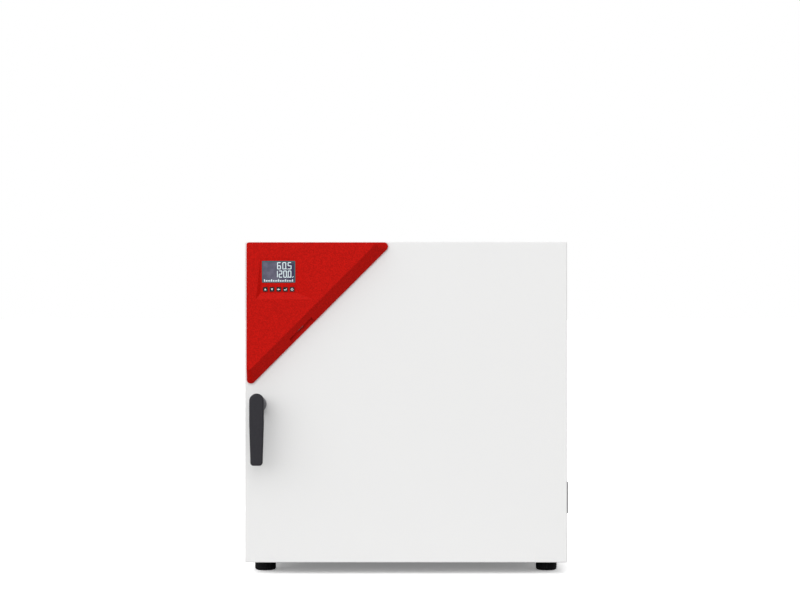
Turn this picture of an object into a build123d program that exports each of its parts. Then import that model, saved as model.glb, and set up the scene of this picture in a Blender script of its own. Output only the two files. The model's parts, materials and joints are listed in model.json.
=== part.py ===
from build123d import *
from math import atan2, cos, degrees, radians, sin, sqrt
import os

# Fan-assisted laboratory drying oven. X runs to the right seen from the front, the front faces -Y,
# Z is up. The origin is the middle of the floor area under the whole oven.

os.makedirs("parts", exist_ok=True)

# Overall size
width = 710.0
body_height = 707.0
body_depth = 605.0
foot_height = 28.0
door_thickness = 58.0
door_gap = 6.0
grip_reach = 58.0
duct_reach = 45.0
panel_proud = 8.5

# Clearances
sheet_gap = 0.3
seat_gap = 0.02
bearing_gap = 0.05
slide_gap = 0.2
soft_gap = 0.3
key_gap = 0.25

# Sheet metal
shell_wall = 1.5
shell_corner = 3.0
shell_flange = 70.0
rear_flange = 16.0
base_wall = 2.0
frame_wall = 2.0
frame_return = 15.0
liner_wall = 1.5
cover_wall = 1.5
baffle_wall = 1.5

# Chamber
side_wall_depth = 100.0
end_wall_depth = 88.5
rear_wall_depth = 116.0
chamber_width = width - 2 * side_wall_depth
chamber_height = body_height - 2 * end_wall_depth
chamber_depth = body_depth - door_thickness - door_gap - rear_wall_depth
chamber_corner = 12.0
fan_space = 36.0

# Feet
foot_radius = 23.5
foot_inset = 39.0
foot_front = 105.0
foot_back = 100.0
foot_span_x = width - 2 * foot_inset
foot_span_y = body_depth - foot_front - foot_back
foot_screw_radius = 4.0
foot_head_radius = 6.5
foot_head_height = 5.0
foot_screw_sink = 6.0
foot_rounding = 5.0

# Places on the main axes
mid_x = -panel_proud / 2
left_x = mid_x - width / 2
right_x = mid_x + width / 2
bottom_z = foot_height
top_z = foot_height + body_height
mid_z = (bottom_z + top_z) / 2
door_y = (grip_reach - body_depth - duct_reach) / 2
door_back_y = door_y + door_thickness
frame_y = door_back_y + door_gap
liner_y = frame_y + frame_wall
baffle_y = frame_y + chamber_depth
liner_back_y = baffle_y + baffle_wall + fan_space
liner_end_y = liner_back_y + liner_wall
rear_y = door_y + body_depth
cover_y = rear_y - cover_wall
rear_flange_y = cover_y - shell_wall
duct_end_y = rear_y + duct_reach
inner_left_x = left_x + shell_wall
inner_right_x = right_x - shell_wall
inner_top_z = top_z - shell_wall
base_z = bottom_z + shell_wall
base_top_z = base_z + base_wall
inner_width = width - 2 * shell_wall
chamber_left_x = mid_x - chamber_width / 2
chamber_right_x = mid_x + chamber_width / 2
chamber_floor_z = mid_z - chamber_height / 2
chamber_top_z = mid_z + chamber_height / 2
foot_mid_y = door_y + foot_front + foot_span_y / 2


def facing(y):
    """Sketch plane at depth y that looks out of the front; a negative extrusion goes back."""
    return Plane.XZ.offset(-y)


def sideways(x):
    """Sketch plane at x that looks out of the right side; its axes are Y and Z."""
    return Plane.YZ.offset(x)


# Side control panel on the right wall
panel_length = 190.0
panel_height = 77.0
panel_lip = 4.0
panel_front = 16.0
panel_rise = 135.5
panel_z = bottom_z + panel_rise
panel_sink = 26.0
panel_wall = 2.5
panel_front_y = frame_y + panel_front
panel_mid_y = panel_front_y + panel_length / 2
panel_hole_length = panel_length - 2 * panel_lip
panel_hole_height = panel_height - 2 * panel_lip

# Small round cap under the side panel
cap_radius = 5.3
cap_proud = 3.0
cap_stem_radius = 3.5
cap_rise = 62.0
cap_z = bottom_z + cap_rise
cap_back = 30.0
cap_y = frame_y + cap_back

# Screws that hold the rear cover
cover_screw_radius = 2.0
cover_screw_length = 7.0
cover_head_radius = 4.0
cover_head_height = 2.2
cover_screw_rows = 4
cover_screw_x = inner_width - rear_flange
cover_screw_z = body_height - 2 * shell_wall - rear_flange
hole_gap = 0.25

# Outer shell: two sides and the top in one wrap, with flanges for the feet and the rear cover
with BuildPart() as outer_shell:
    with BuildSketch(facing(frame_y)):
        with Locations((mid_x, mid_z)):
            RectangleRounded(width, body_height, shell_corner)
            Rectangle(inner_width, body_height - 2 * shell_wall, mode=Mode.SUBTRACT)
        with Locations((mid_x, bottom_z)):
            Rectangle(width - 2 * shell_flange, 2 * shell_wall, mode=Mode.SUBTRACT)
    extrude(amount=-(rear_y - frame_y))
    with BuildSketch(facing(rear_flange_y)):
        with Locations((mid_x, mid_z)):
            Rectangle(width - shell_wall, body_height - shell_wall)
            Rectangle(
                inner_width - 2 * rear_flange,
                body_height - 2 * shell_wall - 2 * rear_flange,
                mode=Mode.SUBTRACT,
            )
            with GridLocations(cover_screw_x, cover_screw_z / (cover_screw_rows - 1), 2, cover_screw_rows):
                Circle(cover_screw_radius + hole_gap, mode=Mode.SUBTRACT)
    extrude(amount=-shell_wall)
    with BuildSketch(Plane.XY.offset(bottom_z)):
        with Locations((mid_x, foot_mid_y)):
            with GridLocations(foot_span_x, foot_span_y, 2, 2):
                Circle(foot_screw_radius + hole_gap)
    extrude(amount=shell_wall, mode=Mode.SUBTRACT)
    with BuildSketch(sideways(right_x)):
        with Locations((panel_mid_y, panel_z)):
            Rectangle(panel_hole_length, panel_hole_height)
        with Locations((cap_y, cap_z)):
            Circle(cap_stem_radius + seat_gap)
    extrude(amount=-shell_wall, mode=Mode.SUBTRACT)
outer_shell.part.label = "outer_shell"
export_step(outer_shell.part, "parts/outer_shell.step")

# Base plate on the shell's bottom flanges
base_front_y = frame_y + frame_return + sheet_gap
base_back_y = rear_flange_y - sheet_gap
with BuildPart() as base_plate:
    with BuildSketch(Plane.XY.offset(base_z)):
        with Locations((mid_x, (base_front_y + base_back_y) / 2)):
            Rectangle(inner_width - 2 * sheet_gap, base_back_y - base_front_y)
        with Locations((mid_x, foot_mid_y)):
            with GridLocations(foot_span_x, foot_span_y, 2, 2):
                Circle(foot_screw_radius + hole_gap, mode=Mode.SUBTRACT)
    extrude(amount=base_wall)
base_plate.part.label = "base_plate"
export_step(base_plate.part, "parts/base_plate.step")

# Latch: the spindle axis below the housing's tip, the cam it turns and the opening it enters
spindle_inset = 29.0
spindle_x = left_x + spindle_inset
housing_top = 1.5
housing_tip = 310.6
handle_below_housing = 45.9
spindle_z = top_z - housing_top - housing_tip - handle_below_housing
spindle_radius = 5.0
cam_length = 26.0
cam_half_width = 6.0
cam_thickness = 5.0
cam_entry = 6.0
cam_clearance = 1.0
keeper_width = 14.0
keeper_height = 26.0
latch_left = 12.0
latch_below = 14.0
latch_above = 34.0
latch_corner = 4.0
latch_room = 2.0
latch_right = cam_length + cam_clearance + keeper_width + latch_room
latch_width = latch_left + latch_right
latch_height = latch_below + latch_above
latch_mid_x = spindle_x + (latch_right - latch_left) / 2
latch_mid_z = spindle_z + (latch_above - latch_below) / 2

# Hinges: an arm from the front frame reaches into a notch in the door's corner and holds the pin
hinge_inset = 12.0
hinge_setback = 20.0
hinge_arm_half = 10.0
hinge_arm_wall = 5.0
hinge_arm_top = 2.5
hinge_leg_wall = 3.0
hinge_leg_height = 36.0
hinge_leg_reach = 34.0
hinge_screw_left = 8.0
hinge_screw_right = 10.0
hinge_pin_radius = 4.0
hinge_pin_reach = 22.0
hinge_screw_radius = 2.5
hinge_screw_length = 8.0
hinge_head_radius = 4.2
hinge_head_height = 1.6
hinge_notch_room = 3.0
hinge_notch_front = 7.0
hinge_notch_clear = 2.0
bush_wall = 2.0
bush_flange = 2.0
bush_flange_wall = 1.0
bush_length = 20.0
hinge_block_margin = 18.0
hinge_block_height = 42.0
door_wall = 1.5
hinge_x = right_x - hinge_inset
hinge_y = door_y + hinge_setback
arm_top_z = top_z - hinge_arm_top
arm_low_z = arm_top_z - hinge_arm_wall
notch_z = arm_low_z - hinge_notch_clear
notch_left_x = hinge_x - hinge_arm_half - hinge_notch_room
notch_front_y = hinge_y - hinge_arm_half - hinge_notch_front
leg_left_x = hinge_x - hinge_leg_reach
leg_right_x = hinge_x + hinge_arm_half
leg_mid_x = (leg_left_x + leg_right_x) / 2
leg_mid_z = arm_top_z - hinge_leg_height / 2
hinge_screw_z = arm_low_z - (hinge_leg_height - hinge_arm_wall) / 2
hinge_screw_places = [
    (leg_left_x + hinge_screw_left, hinge_screw_z),
    (leg_right_x - hinge_screw_right, hinge_screw_z),
]
all_hinge_screw_places = hinge_screw_places + [(x, 2 * mid_z - z) for x, z in hinge_screw_places]

# Front frame: stainless ring round the chamber's mouth, folded back inside the shell
frame_width = inner_width - 2 * sheet_gap
frame_height = body_height - 2 * shell_wall - 2 * sheet_gap
with BuildPart() as front_frame:
    with BuildSketch(facing(frame_y)):
        with Locations((mid_x, mid_z)):
            Rectangle(frame_width, frame_height)
    extrude(amount=-frame_return)
    with BuildSketch(facing(liner_y)):
        with Locations((mid_x, mid_z)):
            Rectangle(frame_width - 2 * frame_wall, frame_height - 2 * frame_wall)
    extrude(amount=-(frame_return - frame_wall), mode=Mode.SUBTRACT)
    with BuildSketch(facing(frame_y)):
        with Locations((mid_x, mid_z)):
            RectangleRounded(chamber_width, chamber_height, chamber_corner)
        with Locations((latch_mid_x, latch_mid_z)):
            RectangleRounded(latch_width, latch_height, latch_corner)
        with Locations(all_hinge_screw_places):
            Circle(hinge_screw_radius + seat_gap)
    extrude(amount=-frame_wall, mode=Mode.SUBTRACT)
front_frame.part.label = "front_frame"
export_step(front_frame.part, "parts/front_frame.step")

# Fan, heater, probes and duct share these places on the chamber's back wall
fan_radius = 88.0
fan_hub_radius = 14.0
fan_shaft_radius = 5.0
shaft_hole_radius = 9.0
heater_radius = 104.0
heater_tube = 4.0
heater_gap_angle = 20.0
probe_radius = 2.5
probe_pitch = 24.0
probe_inset = 105.0
probe_drop = 95.0
probe_x = chamber_left_x + probe_inset
probe_z = chamber_top_z - probe_drop
duct_outer_radius = 25.0
duct_wall = 2.0
duct_drop = 75.0
duct_z = chamber_top_z - duct_drop
duct_collar = 34.0
duct_bore_radius = duct_outer_radius - duct_wall
terminal_spread = heater_radius * sin(radians(heater_gap_angle))
terminal_z = mid_z - heater_radius * cos(radians(heater_gap_angle))

# Chamber liner: deep-drawn stainless box, open at the front frame
with BuildPart() as chamber_liner:
    with BuildSketch(facing(liner_y)):
        with Locations((mid_x, mid_z)):
            RectangleRounded(
                chamber_width + 2 * liner_wall,
                chamber_height + 2 * liner_wall,
                chamber_corner + liner_wall,
            )
    extrude(amount=-(liner_end_y - liner_y))
    with BuildSketch(facing(liner_y)):
        with Locations((mid_x, mid_z)):
            RectangleRounded(chamber_width, chamber_height, chamber_corner)
    extrude(amount=-(liner_back_y - liner_y), mode=Mode.SUBTRACT)
    with BuildSketch(facing(liner_back_y)):
        with Locations((mid_x, mid_z)):
            Circle(shaft_hole_radius)
        with Locations((mid_x, duct_z)):
            Circle(duct_outer_radius + seat_gap)
        with Locations((mid_x - terminal_spread, terminal_z), (mid_x + terminal_spread, terminal_z)):
            Circle(heater_tube + seat_gap)
        with Locations((probe_x, probe_z), (probe_x, probe_z - probe_pitch)):
            Circle(probe_radius + seat_gap)
    extrude(amount=-liner_wall, mode=Mode.SUBTRACT)
chamber_liner.part.label = "chamber_liner"
export_step(chamber_liner.part, "parts/chamber_liner.step")

# Motor and flap drive sit in the rear mat, the inlet in the bottom mat
motor_radius = 42.0
motor_length = 46.0
motor_standoff = 20.0
motor_stud_radius = 4.0
motor_stud_circle = 34.0
motor_room = 6.0
flap_motor_width = 34.0
flap_motor_height = 40.0
flap_motor_depth = 24.0
flap_setback = 24.0
flap_room = 2.0
inlet_inset = 115.0
inlet_rise = 48.0
inlet_x = right_x - inlet_inset
inlet_z = bottom_z + inlet_rise
inlet_width = 27.0
inlet_height = 20.0
inlet_depth = 26.0
inlet_tab = 6.0
inlet_room = 3.0
foot_pocket_radius = 10.0
foot_pocket_height = 8.0
probe_pocket = 20.0
wool_gap = 0.3
board_depth = 40.0
flap_y = rear_flange_y - flap_setback
duct_hole_radius = duct_outer_radius + wool_gap
flap_motor_x = mid_x + duct_outer_radius + wool_gap + flap_motor_width / 2

# Mineral wool: bottom, top, left, right and rear mats round the liner
wool_left_x = inner_left_x + wool_gap
wool_right_x = inner_right_x - wool_gap
wool_top_z = inner_top_z - wool_gap
wool_front_y = base_front_y
wool_back_y = rear_y - cover_screw_length - wool_gap
liner_left_x = chamber_left_x - liner_wall - wool_gap
liner_right_x = chamber_right_x + liner_wall + wool_gap
liner_floor_z = chamber_floor_z - liner_wall - wool_gap
liner_roof_z = chamber_top_z + liner_wall + wool_gap
side_wool_z = liner_floor_z + wool_gap
side_wool_top_z = liner_roof_z - wool_gap
rear_wool_x = liner_left_x + wool_gap
rear_wool_end_x = liner_right_x - wool_gap
rear_wool_y = liner_end_y + wool_gap


def mat(low_x, high_x, low_y, high_y, low_z, high_z):
    """Plain mat between two corners."""
    with BuildPart() as block:
        with Locations(((low_x + high_x) / 2, (low_y + high_y) / 2, (low_z + high_z) / 2)):
            Box(high_x - low_x, high_y - low_y, high_z - low_z)
    return block.part


with BuildPart() as inlet_pocket:
    with Locations((inlet_x, wool_back_y, inlet_z)):
        Box(inlet_width + 2 * inlet_room, 2 * (inlet_depth + inlet_tab), inlet_height + 2 * inlet_room)
with BuildPart() as panel_pocket:
    with Locations((wool_right_x, panel_mid_y, panel_z)):
        Box(2 * (panel_sink + board_depth), panel_length, panel_height)
with BuildPart() as bottom_mat:
    add(mat(wool_left_x, wool_right_x, wool_front_y, wool_back_y, base_top_z, liner_floor_z))
    add([inlet_pocket.part, panel_pocket.part], mode=Mode.SUBTRACT)
    with Locations((mid_x, foot_mid_y, base_top_z)):
        with GridLocations(foot_span_x, foot_span_y, 2, 2):
            Cylinder(foot_pocket_radius, 2 * foot_pocket_height, mode=Mode.SUBTRACT)
with BuildPart() as top_mat:
    add(mat(wool_left_x, wool_right_x, wool_front_y, wool_back_y, liner_roof_z, wool_top_z))
with BuildPart() as left_mat:
    add(mat(wool_left_x, liner_left_x, wool_front_y, wool_back_y, side_wool_z, side_wool_top_z))
    with Locations((latch_mid_x, wool_front_y, latch_mid_z)):
        Box(latch_width, 2 * frame_return, latch_height, mode=Mode.SUBTRACT)
with BuildPart() as right_mat:
    add(mat(liner_right_x, wool_right_x, wool_front_y, wool_back_y, side_wool_z, side_wool_top_z))
    add([inlet_pocket.part, panel_pocket.part], mode=Mode.SUBTRACT)
with BuildPart() as rear_mat:
    add(mat(rear_wool_x, rear_wool_end_x, rear_wool_y, wool_back_y, side_wool_z, side_wool_top_z))
    add(inlet_pocket.part, mode=Mode.SUBTRACT)
    with BuildSketch(facing(rear_wool_y)):
        with Locations((mid_x, mid_z)):
            Circle(motor_radius + motor_room)
        with Locations((mid_x, duct_z)):
            Circle(duct_hole_radius)
        with Locations((flap_motor_x, duct_z)):
            Rectangle(flap_motor_width + 2 * flap_room, flap_motor_height + 2 * flap_room)
        with Locations((mid_x - terminal_spread, terminal_z), (mid_x + terminal_spread, terminal_z)):
            Circle(heater_tube + motor_room)
        with Locations((probe_x, probe_z - probe_pitch / 2)):
            Rectangle(probe_pocket, probe_pitch + probe_pocket)
    extrude(amount=-(wool_back_y - rear_wool_y), mode=Mode.SUBTRACT)
with BuildPart() as cabinet_insulation:
    add([bottom_mat.part, top_mat.part, left_mat.part, right_mat.part, rear_mat.part])
cabinet_insulation.part.label = "cabinet_insulation"
export_step(cabinet_insulation.part, "parts/cabinet_insulation.step")

# Rear cover over the shell's rear flange, with louvres behind the motor
louvre_length = 56.0
louvre_width = 5.0
louvre_pitch_x = 70.0
louvre_pitch_z = 14.0
inlet_screw_pitch = 40.0
inlet_screw_radius = 1.6
with BuildPart() as rear_cover:
    with BuildSketch(facing(cover_y)):
        with Locations((mid_x, mid_z)):
            Rectangle(inner_width - 2 * sheet_gap, body_height - 2 * shell_wall - 2 * sheet_gap)
            with GridLocations(cover_screw_x, cover_screw_z / (cover_screw_rows - 1), 2, cover_screw_rows):
                Circle(cover_screw_radius + hole_gap, mode=Mode.SUBTRACT)
            with GridLocations(louvre_pitch_x, louvre_pitch_z, 2, 6):
                SlotOverall(louvre_length, louvre_width, mode=Mode.SUBTRACT)
        with Locations((mid_x, duct_z)):
            Circle(duct_outer_radius + sheet_gap, mode=Mode.SUBTRACT)
        with Locations((inlet_x, inlet_z)):
            Rectangle(inlet_width + 2 * sheet_gap, inlet_height + 2 * sheet_gap, mode=Mode.SUBTRACT)
            with GridLocations(inlet_screw_pitch, inlet_height, 2, 1):
                Circle(inlet_screw_radius, mode=Mode.SUBTRACT)
    extrude(amount=-cover_wall)
rear_cover.part.label = "rear_cover"
export_step(rear_cover.part, "parts/rear_cover.step")

# Pan-head screws of the rear cover
with BuildPart() as cover_screws:
    with BuildSketch(facing(rear_y)):
        with Locations((mid_x, mid_z)):
            with GridLocations(cover_screw_x, cover_screw_z / (cover_screw_rows - 1), 2, cover_screw_rows):
                Circle(cover_head_radius)
    extrude(amount=-cover_head_height)
    chamfer(cover_screws.edges().group_by(Axis.Y)[-1], cover_head_height / 3)
    with BuildSketch(facing(rear_y)):
        with Locations((mid_x, mid_z)):
            with GridLocations(cover_screw_x, cover_screw_z / (cover_screw_rows - 1), 2, cover_screw_rows):
                Circle(cover_screw_radius)
    extrude(amount=cover_screw_length)
cover_screws.part.label = "cover_screws"
export_step(cover_screws.part, "parts/cover_screws.step")

# Four rubber feet, each on a screw that comes up through the base plate into a nut
foot_washer_z = foot_screw_sink + foot_head_height
foot_top_chamfer = 1.5
nut_radius = 7.0
nut_height = 6.0
foot_screw_top_z = base_top_z + nut_height + 1.0
with BuildPart() as foot_pads:
    with BuildSketch():
        with Locations((mid_x, foot_mid_y)):
            with GridLocations(foot_span_x, foot_span_y, 2, 2):
                Circle(foot_radius)
    extrude(amount=foot_height)
    fillet(foot_pads.edges().group_by(Axis.Z)[0], foot_rounding)
    chamfer(foot_pads.edges().group_by(Axis.Z)[-1], foot_top_chamfer)
    with BuildSketch():
        with Locations((mid_x, foot_mid_y)):
            with GridLocations(foot_span_x, foot_span_y, 2, 2):
                Circle(foot_head_radius + hole_gap)
    extrude(amount=foot_washer_z, mode=Mode.SUBTRACT)
    with BuildSketch():
        with Locations((mid_x, foot_mid_y)):
            with GridLocations(foot_span_x, foot_span_y, 2, 2):
                Circle(foot_screw_radius + seat_gap)
    extrude(amount=foot_height, mode=Mode.SUBTRACT)
foot_pads.part.label = "foot_pads"
export_step(foot_pads.part, "parts/foot_pads.step")

with BuildPart() as foot_screws:
    with BuildSketch(Plane.XY.offset(foot_screw_sink)):
        with Locations((mid_x, foot_mid_y)):
            with GridLocations(foot_span_x, foot_span_y, 2, 2):
                RegularPolygon(foot_head_radius, 6)
    extrude(amount=foot_head_height)
    with BuildSketch(Plane.XY.offset(foot_screw_sink)):
        with Locations((mid_x, foot_mid_y)):
            with GridLocations(foot_span_x, foot_span_y, 2, 2):
                Circle(foot_screw_radius)
    extrude(amount=foot_screw_top_z - foot_screw_sink)
    with BuildSketch(Plane.XY.offset(base_top_z)):
        with Locations((mid_x, foot_mid_y)):
            with GridLocations(foot_span_x, foot_span_y, 2, 2):
                RegularPolygon(nut_radius, 6)
    extrude(amount=nut_height)
foot_screws.part.label = "foot_screws"
export_step(foot_screws.part, "parts/foot_screws.step")

# Rack rails: a slotted upright sheet on studs, with a folded ledge at each level
rail_wall = 1.5
rail_standoff = 6.0
rail_ledge = 14.0
rail_lip = 5.0
rail_front_room = 22.0
rail_back_room = 12.0
rail_end_room = 30.0
rail_low_ledge = 30.0
rail_top_ledge = 60.0
rail_height = chamber_height - 2 * rail_end_room
rail_corner = 8.0
rail_slot_length = 60.0
rail_slot_width = 10.0
rail_stud_radius = 4.0
rail_stud_inset = 30.0
rack_levels = 5
rack_pitch = (rail_height - rail_low_ledge - rail_top_ledge) / (rack_levels - 1)
rack_first = rail_end_room + rail_low_ledge
rail_slot_columns = 4
rail_front_y = frame_y + rail_front_room
rail_back_y = baffle_y - rail_back_room
rail_length = rail_back_y - rail_front_y
rail_mid_y = (rail_front_y + rail_back_y) / 2
rail_x = chamber_left_x + rail_standoff
ledge_x = rail_x + rail_wall + rail_ledge / 2
ledge_end_x = rail_x + rail_wall + rail_ledge - rail_wall / 2
level_z = [chamber_floor_z + rack_first + rack_pitch * level for level in range(rack_levels)]
rail_slot_z = (level_z[0] + level_z[-1] + rack_pitch) / 2
with BuildPart() as rack_rail_left:
    with BuildSketch(sideways(rail_x)):
        with Locations((rail_mid_y, mid_z)):
            RectangleRounded(rail_length, rail_height, rail_corner)
        with Locations((rail_mid_y, rail_slot_z)):
            with GridLocations(rail_length / rail_slot_columns, rack_pitch, rail_slot_columns, rack_levels - 1):
                SlotOverall(rail_slot_length, rail_slot_width, mode=Mode.SUBTRACT)
    extrude(amount=rail_wall)
    with BuildSketch(facing(rail_front_y)):
        with Locations([(ledge_x, z) for z in level_z]):
            Rectangle(rail_ledge + rail_wall, rail_wall)
        with Locations([(ledge_end_x, z - rail_lip / 2) for z in level_z]):
            Rectangle(rail_wall, rail_lip)
    extrude(amount=-rail_length)
    with BuildSketch(sideways(rail_x)):
        with Locations((rail_mid_y, mid_z)):
            with GridLocations(rail_length - 2 * rail_stud_inset, rail_height - 2 * rail_stud_inset, 2, 2):
                Circle(rail_stud_radius)
    extrude(amount=-rail_standoff)
rack_rail_left.part.label = "rack_rail_left"
export_step(rack_rail_left.part, "parts/rack_rail_left.step")

with BuildPart() as rack_rail_right:
    mirror(rack_rail_left.part, about=sideways(mid_x))
rack_rail_right.part.label = "rack_rail_right"
export_step(rack_rail_right.part, "parts/rack_rail_right.step")

# Wire racks: a welded frame with thin cross wires, lying on the ledges of two levels
rack_wire = 3.0
rack_cross_wire = 1.5
rack_cross_lift = 1.0
rack_side_play = 2.0
rack_overhang = 4.0
rack_depth = rail_length + rack_overhang
rack_back_room = 5.0
rack_corner = 14.0
rack_cross_count = 20
rack_brace_count = 2
rack_low_level = 1
rack_high_level = 3
rack_back_y = baffle_y - rack_back_room
rack_mid_y = rack_back_y - rack_depth / 2
rack_width = chamber_width - 2 * (rail_standoff + rail_wall + rack_side_play)
rack_path_width = rack_width - 2 * rack_wire
rack_path_depth = rack_depth - 2 * rack_wire
rack_cross_pitch = rack_path_width / (rack_cross_count + 1)
rack_low_z = level_z[rack_low_level] + rail_wall / 2 + slide_gap + rack_wire
rack_rise = rack_pitch * (rack_high_level - rack_low_level)
with BuildSketch(Plane.XY.offset(rack_low_z)) as rack_outline:
    with Locations((mid_x, rack_mid_y)):
        RectangleRounded(rack_path_width, rack_path_depth, rack_corner)
rack_edge = rack_outline.sketch.face().outer_wire()
with BuildPart() as rack_lower:
    with BuildSketch(Plane(rack_edge @ 0, z_dir=rack_edge % 0)):
        Circle(rack_wire)
    sweep(path=rack_edge)
    with BuildSketch(facing(rack_mid_y - rack_path_depth / 2)):
        with Locations((mid_x, rack_low_z + rack_cross_lift)):
            with GridLocations(rack_cross_pitch, rack_cross_wire, rack_cross_count, 1):
                Circle(rack_cross_wire)
    extrude(amount=-rack_path_depth)
    with BuildSketch(sideways(mid_x - rack_path_width / 2)):
        with Locations((rack_mid_y, rack_low_z - rack_cross_lift)):
            with GridLocations(rack_path_depth / (rack_brace_count + 1), rack_wire, rack_brace_count, 1):
                Circle(rack_cross_wire)
    extrude(amount=rack_path_width)
rack_lower.part.label = "rack_lower"
export_step(rack_lower.part, "parts/rack_lower.step")

with BuildPart() as rack_upper:
    add(rack_lower.part.moved(Location((0, 0, rack_rise))))
rack_upper.part.label = "rack_upper"
export_step(rack_upper.part, "parts/rack_upper.step")

# Air baffle: slotted sheet in front of the fan, standing off the back wall on its two sides
intake_slot_length = 34.0
intake_slot_width = 6.0
intake_radius = 42.0
intake_count = 16
outlet_slot_length = 44.0
outlet_slot_width = 6.0
outlet_rows = 12
outlet_end_room = 67.0
outlet_inset = 45.0
outlet_pitch = (chamber_height - 2 * outlet_end_room) / (outlet_rows - 1)
outlet_x = chamber_width / 2 - outlet_inset
with BuildPart() as air_baffle:
    with BuildSketch(facing(baffle_y)):
        with Locations((mid_x, mid_z)):
            RectangleRounded(
                chamber_width - 2 * sheet_gap,
                chamber_height - 2 * sheet_gap,
                chamber_corner - sheet_gap,
            )
    extrude(amount=-(baffle_wall + fan_space))
    with BuildSketch(facing(baffle_y + baffle_wall)):
        with Locations((mid_x, mid_z)):
            Rectangle(chamber_width - 2 * sheet_gap - 2 * baffle_wall, chamber_height)
    extrude(amount=-fan_space, mode=Mode.SUBTRACT)
    with BuildSketch(facing(baffle_y)):
        with Locations((mid_x, mid_z)):
            with PolarLocations(intake_radius, intake_count):
                SlotOverall(intake_slot_length, intake_slot_width)
            with GridLocations(2 * outlet_x, outlet_pitch, 2, outlet_rows):
                SlotOverall(outlet_slot_length, outlet_slot_width)
        with Locations((probe_x, probe_z), (probe_x, probe_z - probe_pitch)):
            Circle(probe_radius + sheet_gap)
    extrude(amount=-baffle_wall, mode=Mode.SUBTRACT)
air_baffle.part.label = "air_baffle"
export_step(air_baffle.part, "parts/air_baffle.step")

# Radial fan wheel: back disc, curved blades, front ring and hub
fan_back_room = 7.0
fan_sheet = 1.2
fan_blade_depth = 20.0
fan_blade_inner = 46.0
fan_blade_bow = 7.0
fan_blade_count = 12
fan_ring_inner = 60.0
fan_hub_length = 16.0
fan_disc_y = liner_back_y - fan_back_room - fan_sheet
fan_blade_y = fan_disc_y - fan_blade_depth
fan_blade_outer = fan_radius - fan_sheet
with BuildSketch() as blade_profile:
    with BuildLine():
        blade_mid = (fan_blade_inner + fan_blade_outer) / 2
        ThreePointArc((fan_blade_inner, 0), (blade_mid, fan_blade_bow), (fan_blade_outer, -2 * fan_blade_bow))
    trace(line_width=fan_sheet)
with BuildPart() as fan_wheel:
    with BuildSketch(facing(fan_disc_y)):
        with Locations((mid_x, mid_z)):
            Circle(fan_radius)
    extrude(amount=-fan_sheet)
    with BuildSketch(facing(fan_disc_y)):
        with Locations((mid_x, mid_z)):
            with PolarLocations(0, fan_blade_count):
                add(blade_profile.sketch)
    extrude(amount=fan_blade_depth)
    with BuildSketch(facing(fan_blade_y)):
        with Locations((mid_x, mid_z)):
            Circle(fan_radius)
            Circle(fan_ring_inner, mode=Mode.SUBTRACT)
    extrude(amount=fan_sheet)
    with BuildSketch(facing(fan_disc_y)):
        with Locations((mid_x, mid_z)):
            Circle(fan_hub_radius)
    extrude(amount=fan_hub_length)
    with BuildSketch(facing(fan_disc_y - fan_hub_length)):
        with Locations((mid_x, mid_z)):
            Circle(fan_shaft_radius + seat_gap)
    extrude(amount=-(fan_hub_length + fan_sheet), mode=Mode.SUBTRACT)
fan_wheel.part.label = "fan_wheel"
export_step(fan_wheel.part, "parts/fan_wheel.step")

# Fan shaft: a collar holds the wheel, the far end runs in the motor
shaft_collar_radius = 8.0
shaft_collar = 3.0
shaft_grip = 32.0
motor_y = liner_end_y + motor_standoff
shaft_front_y = fan_disc_y - fan_hub_length
with BuildPart() as fan_shaft:
    with BuildSketch(facing(shaft_front_y)):
        with Locations((mid_x, mid_z)):
            Circle(shaft_collar_radius)
    extrude(amount=shaft_collar)
    with BuildSketch(facing(shaft_front_y)):
        with Locations((mid_x, mid_z)):
            Circle(fan_shaft_radius)
    extrude(amount=-(motor_y + shaft_grip - shaft_front_y))
fan_shaft.part.label = "fan_shaft"
export_step(fan_shaft.part, "parts/fan_shaft.step")

# Fan motor on four studs behind the liner, with cooling grooves
motor_groove_count = 5
motor_groove_pitch = 7.0
motor_groove_width = 3.0
motor_groove_depth = 3.0
motor_bore_end = 2.0
with BuildPart() as fan_motor:
    with BuildSketch(facing(motor_y)):
        with Locations((mid_x, mid_z)):
            Circle(motor_radius)
    extrude(amount=-motor_length)
    with BuildSketch(facing(motor_y)):
        with Locations((mid_x, mid_z)):
            with PolarLocations(motor_stud_circle, 4, start_angle=45):
                Circle(motor_stud_radius)
    extrude(amount=motor_standoff)
    for groove in range(motor_groove_count):
        groove_y = motor_y + motor_groove_pitch * (groove + 1)
        with BuildSketch(facing(groove_y)):
            with Locations((mid_x, mid_z)):
                Circle(motor_radius)
                Circle(motor_radius - motor_groove_depth, mode=Mode.SUBTRACT)
        extrude(amount=-motor_groove_width, mode=Mode.SUBTRACT)
    with BuildSketch(facing(motor_y)):
        with Locations((mid_x, mid_z)):
            Circle(fan_shaft_radius + bearing_gap)
    extrude(amount=-(shaft_grip + motor_bore_end), mode=Mode.SUBTRACT)
fan_motor.part.label = "fan_motor"
export_step(fan_motor.part, "parts/fan_motor.step")

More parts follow.
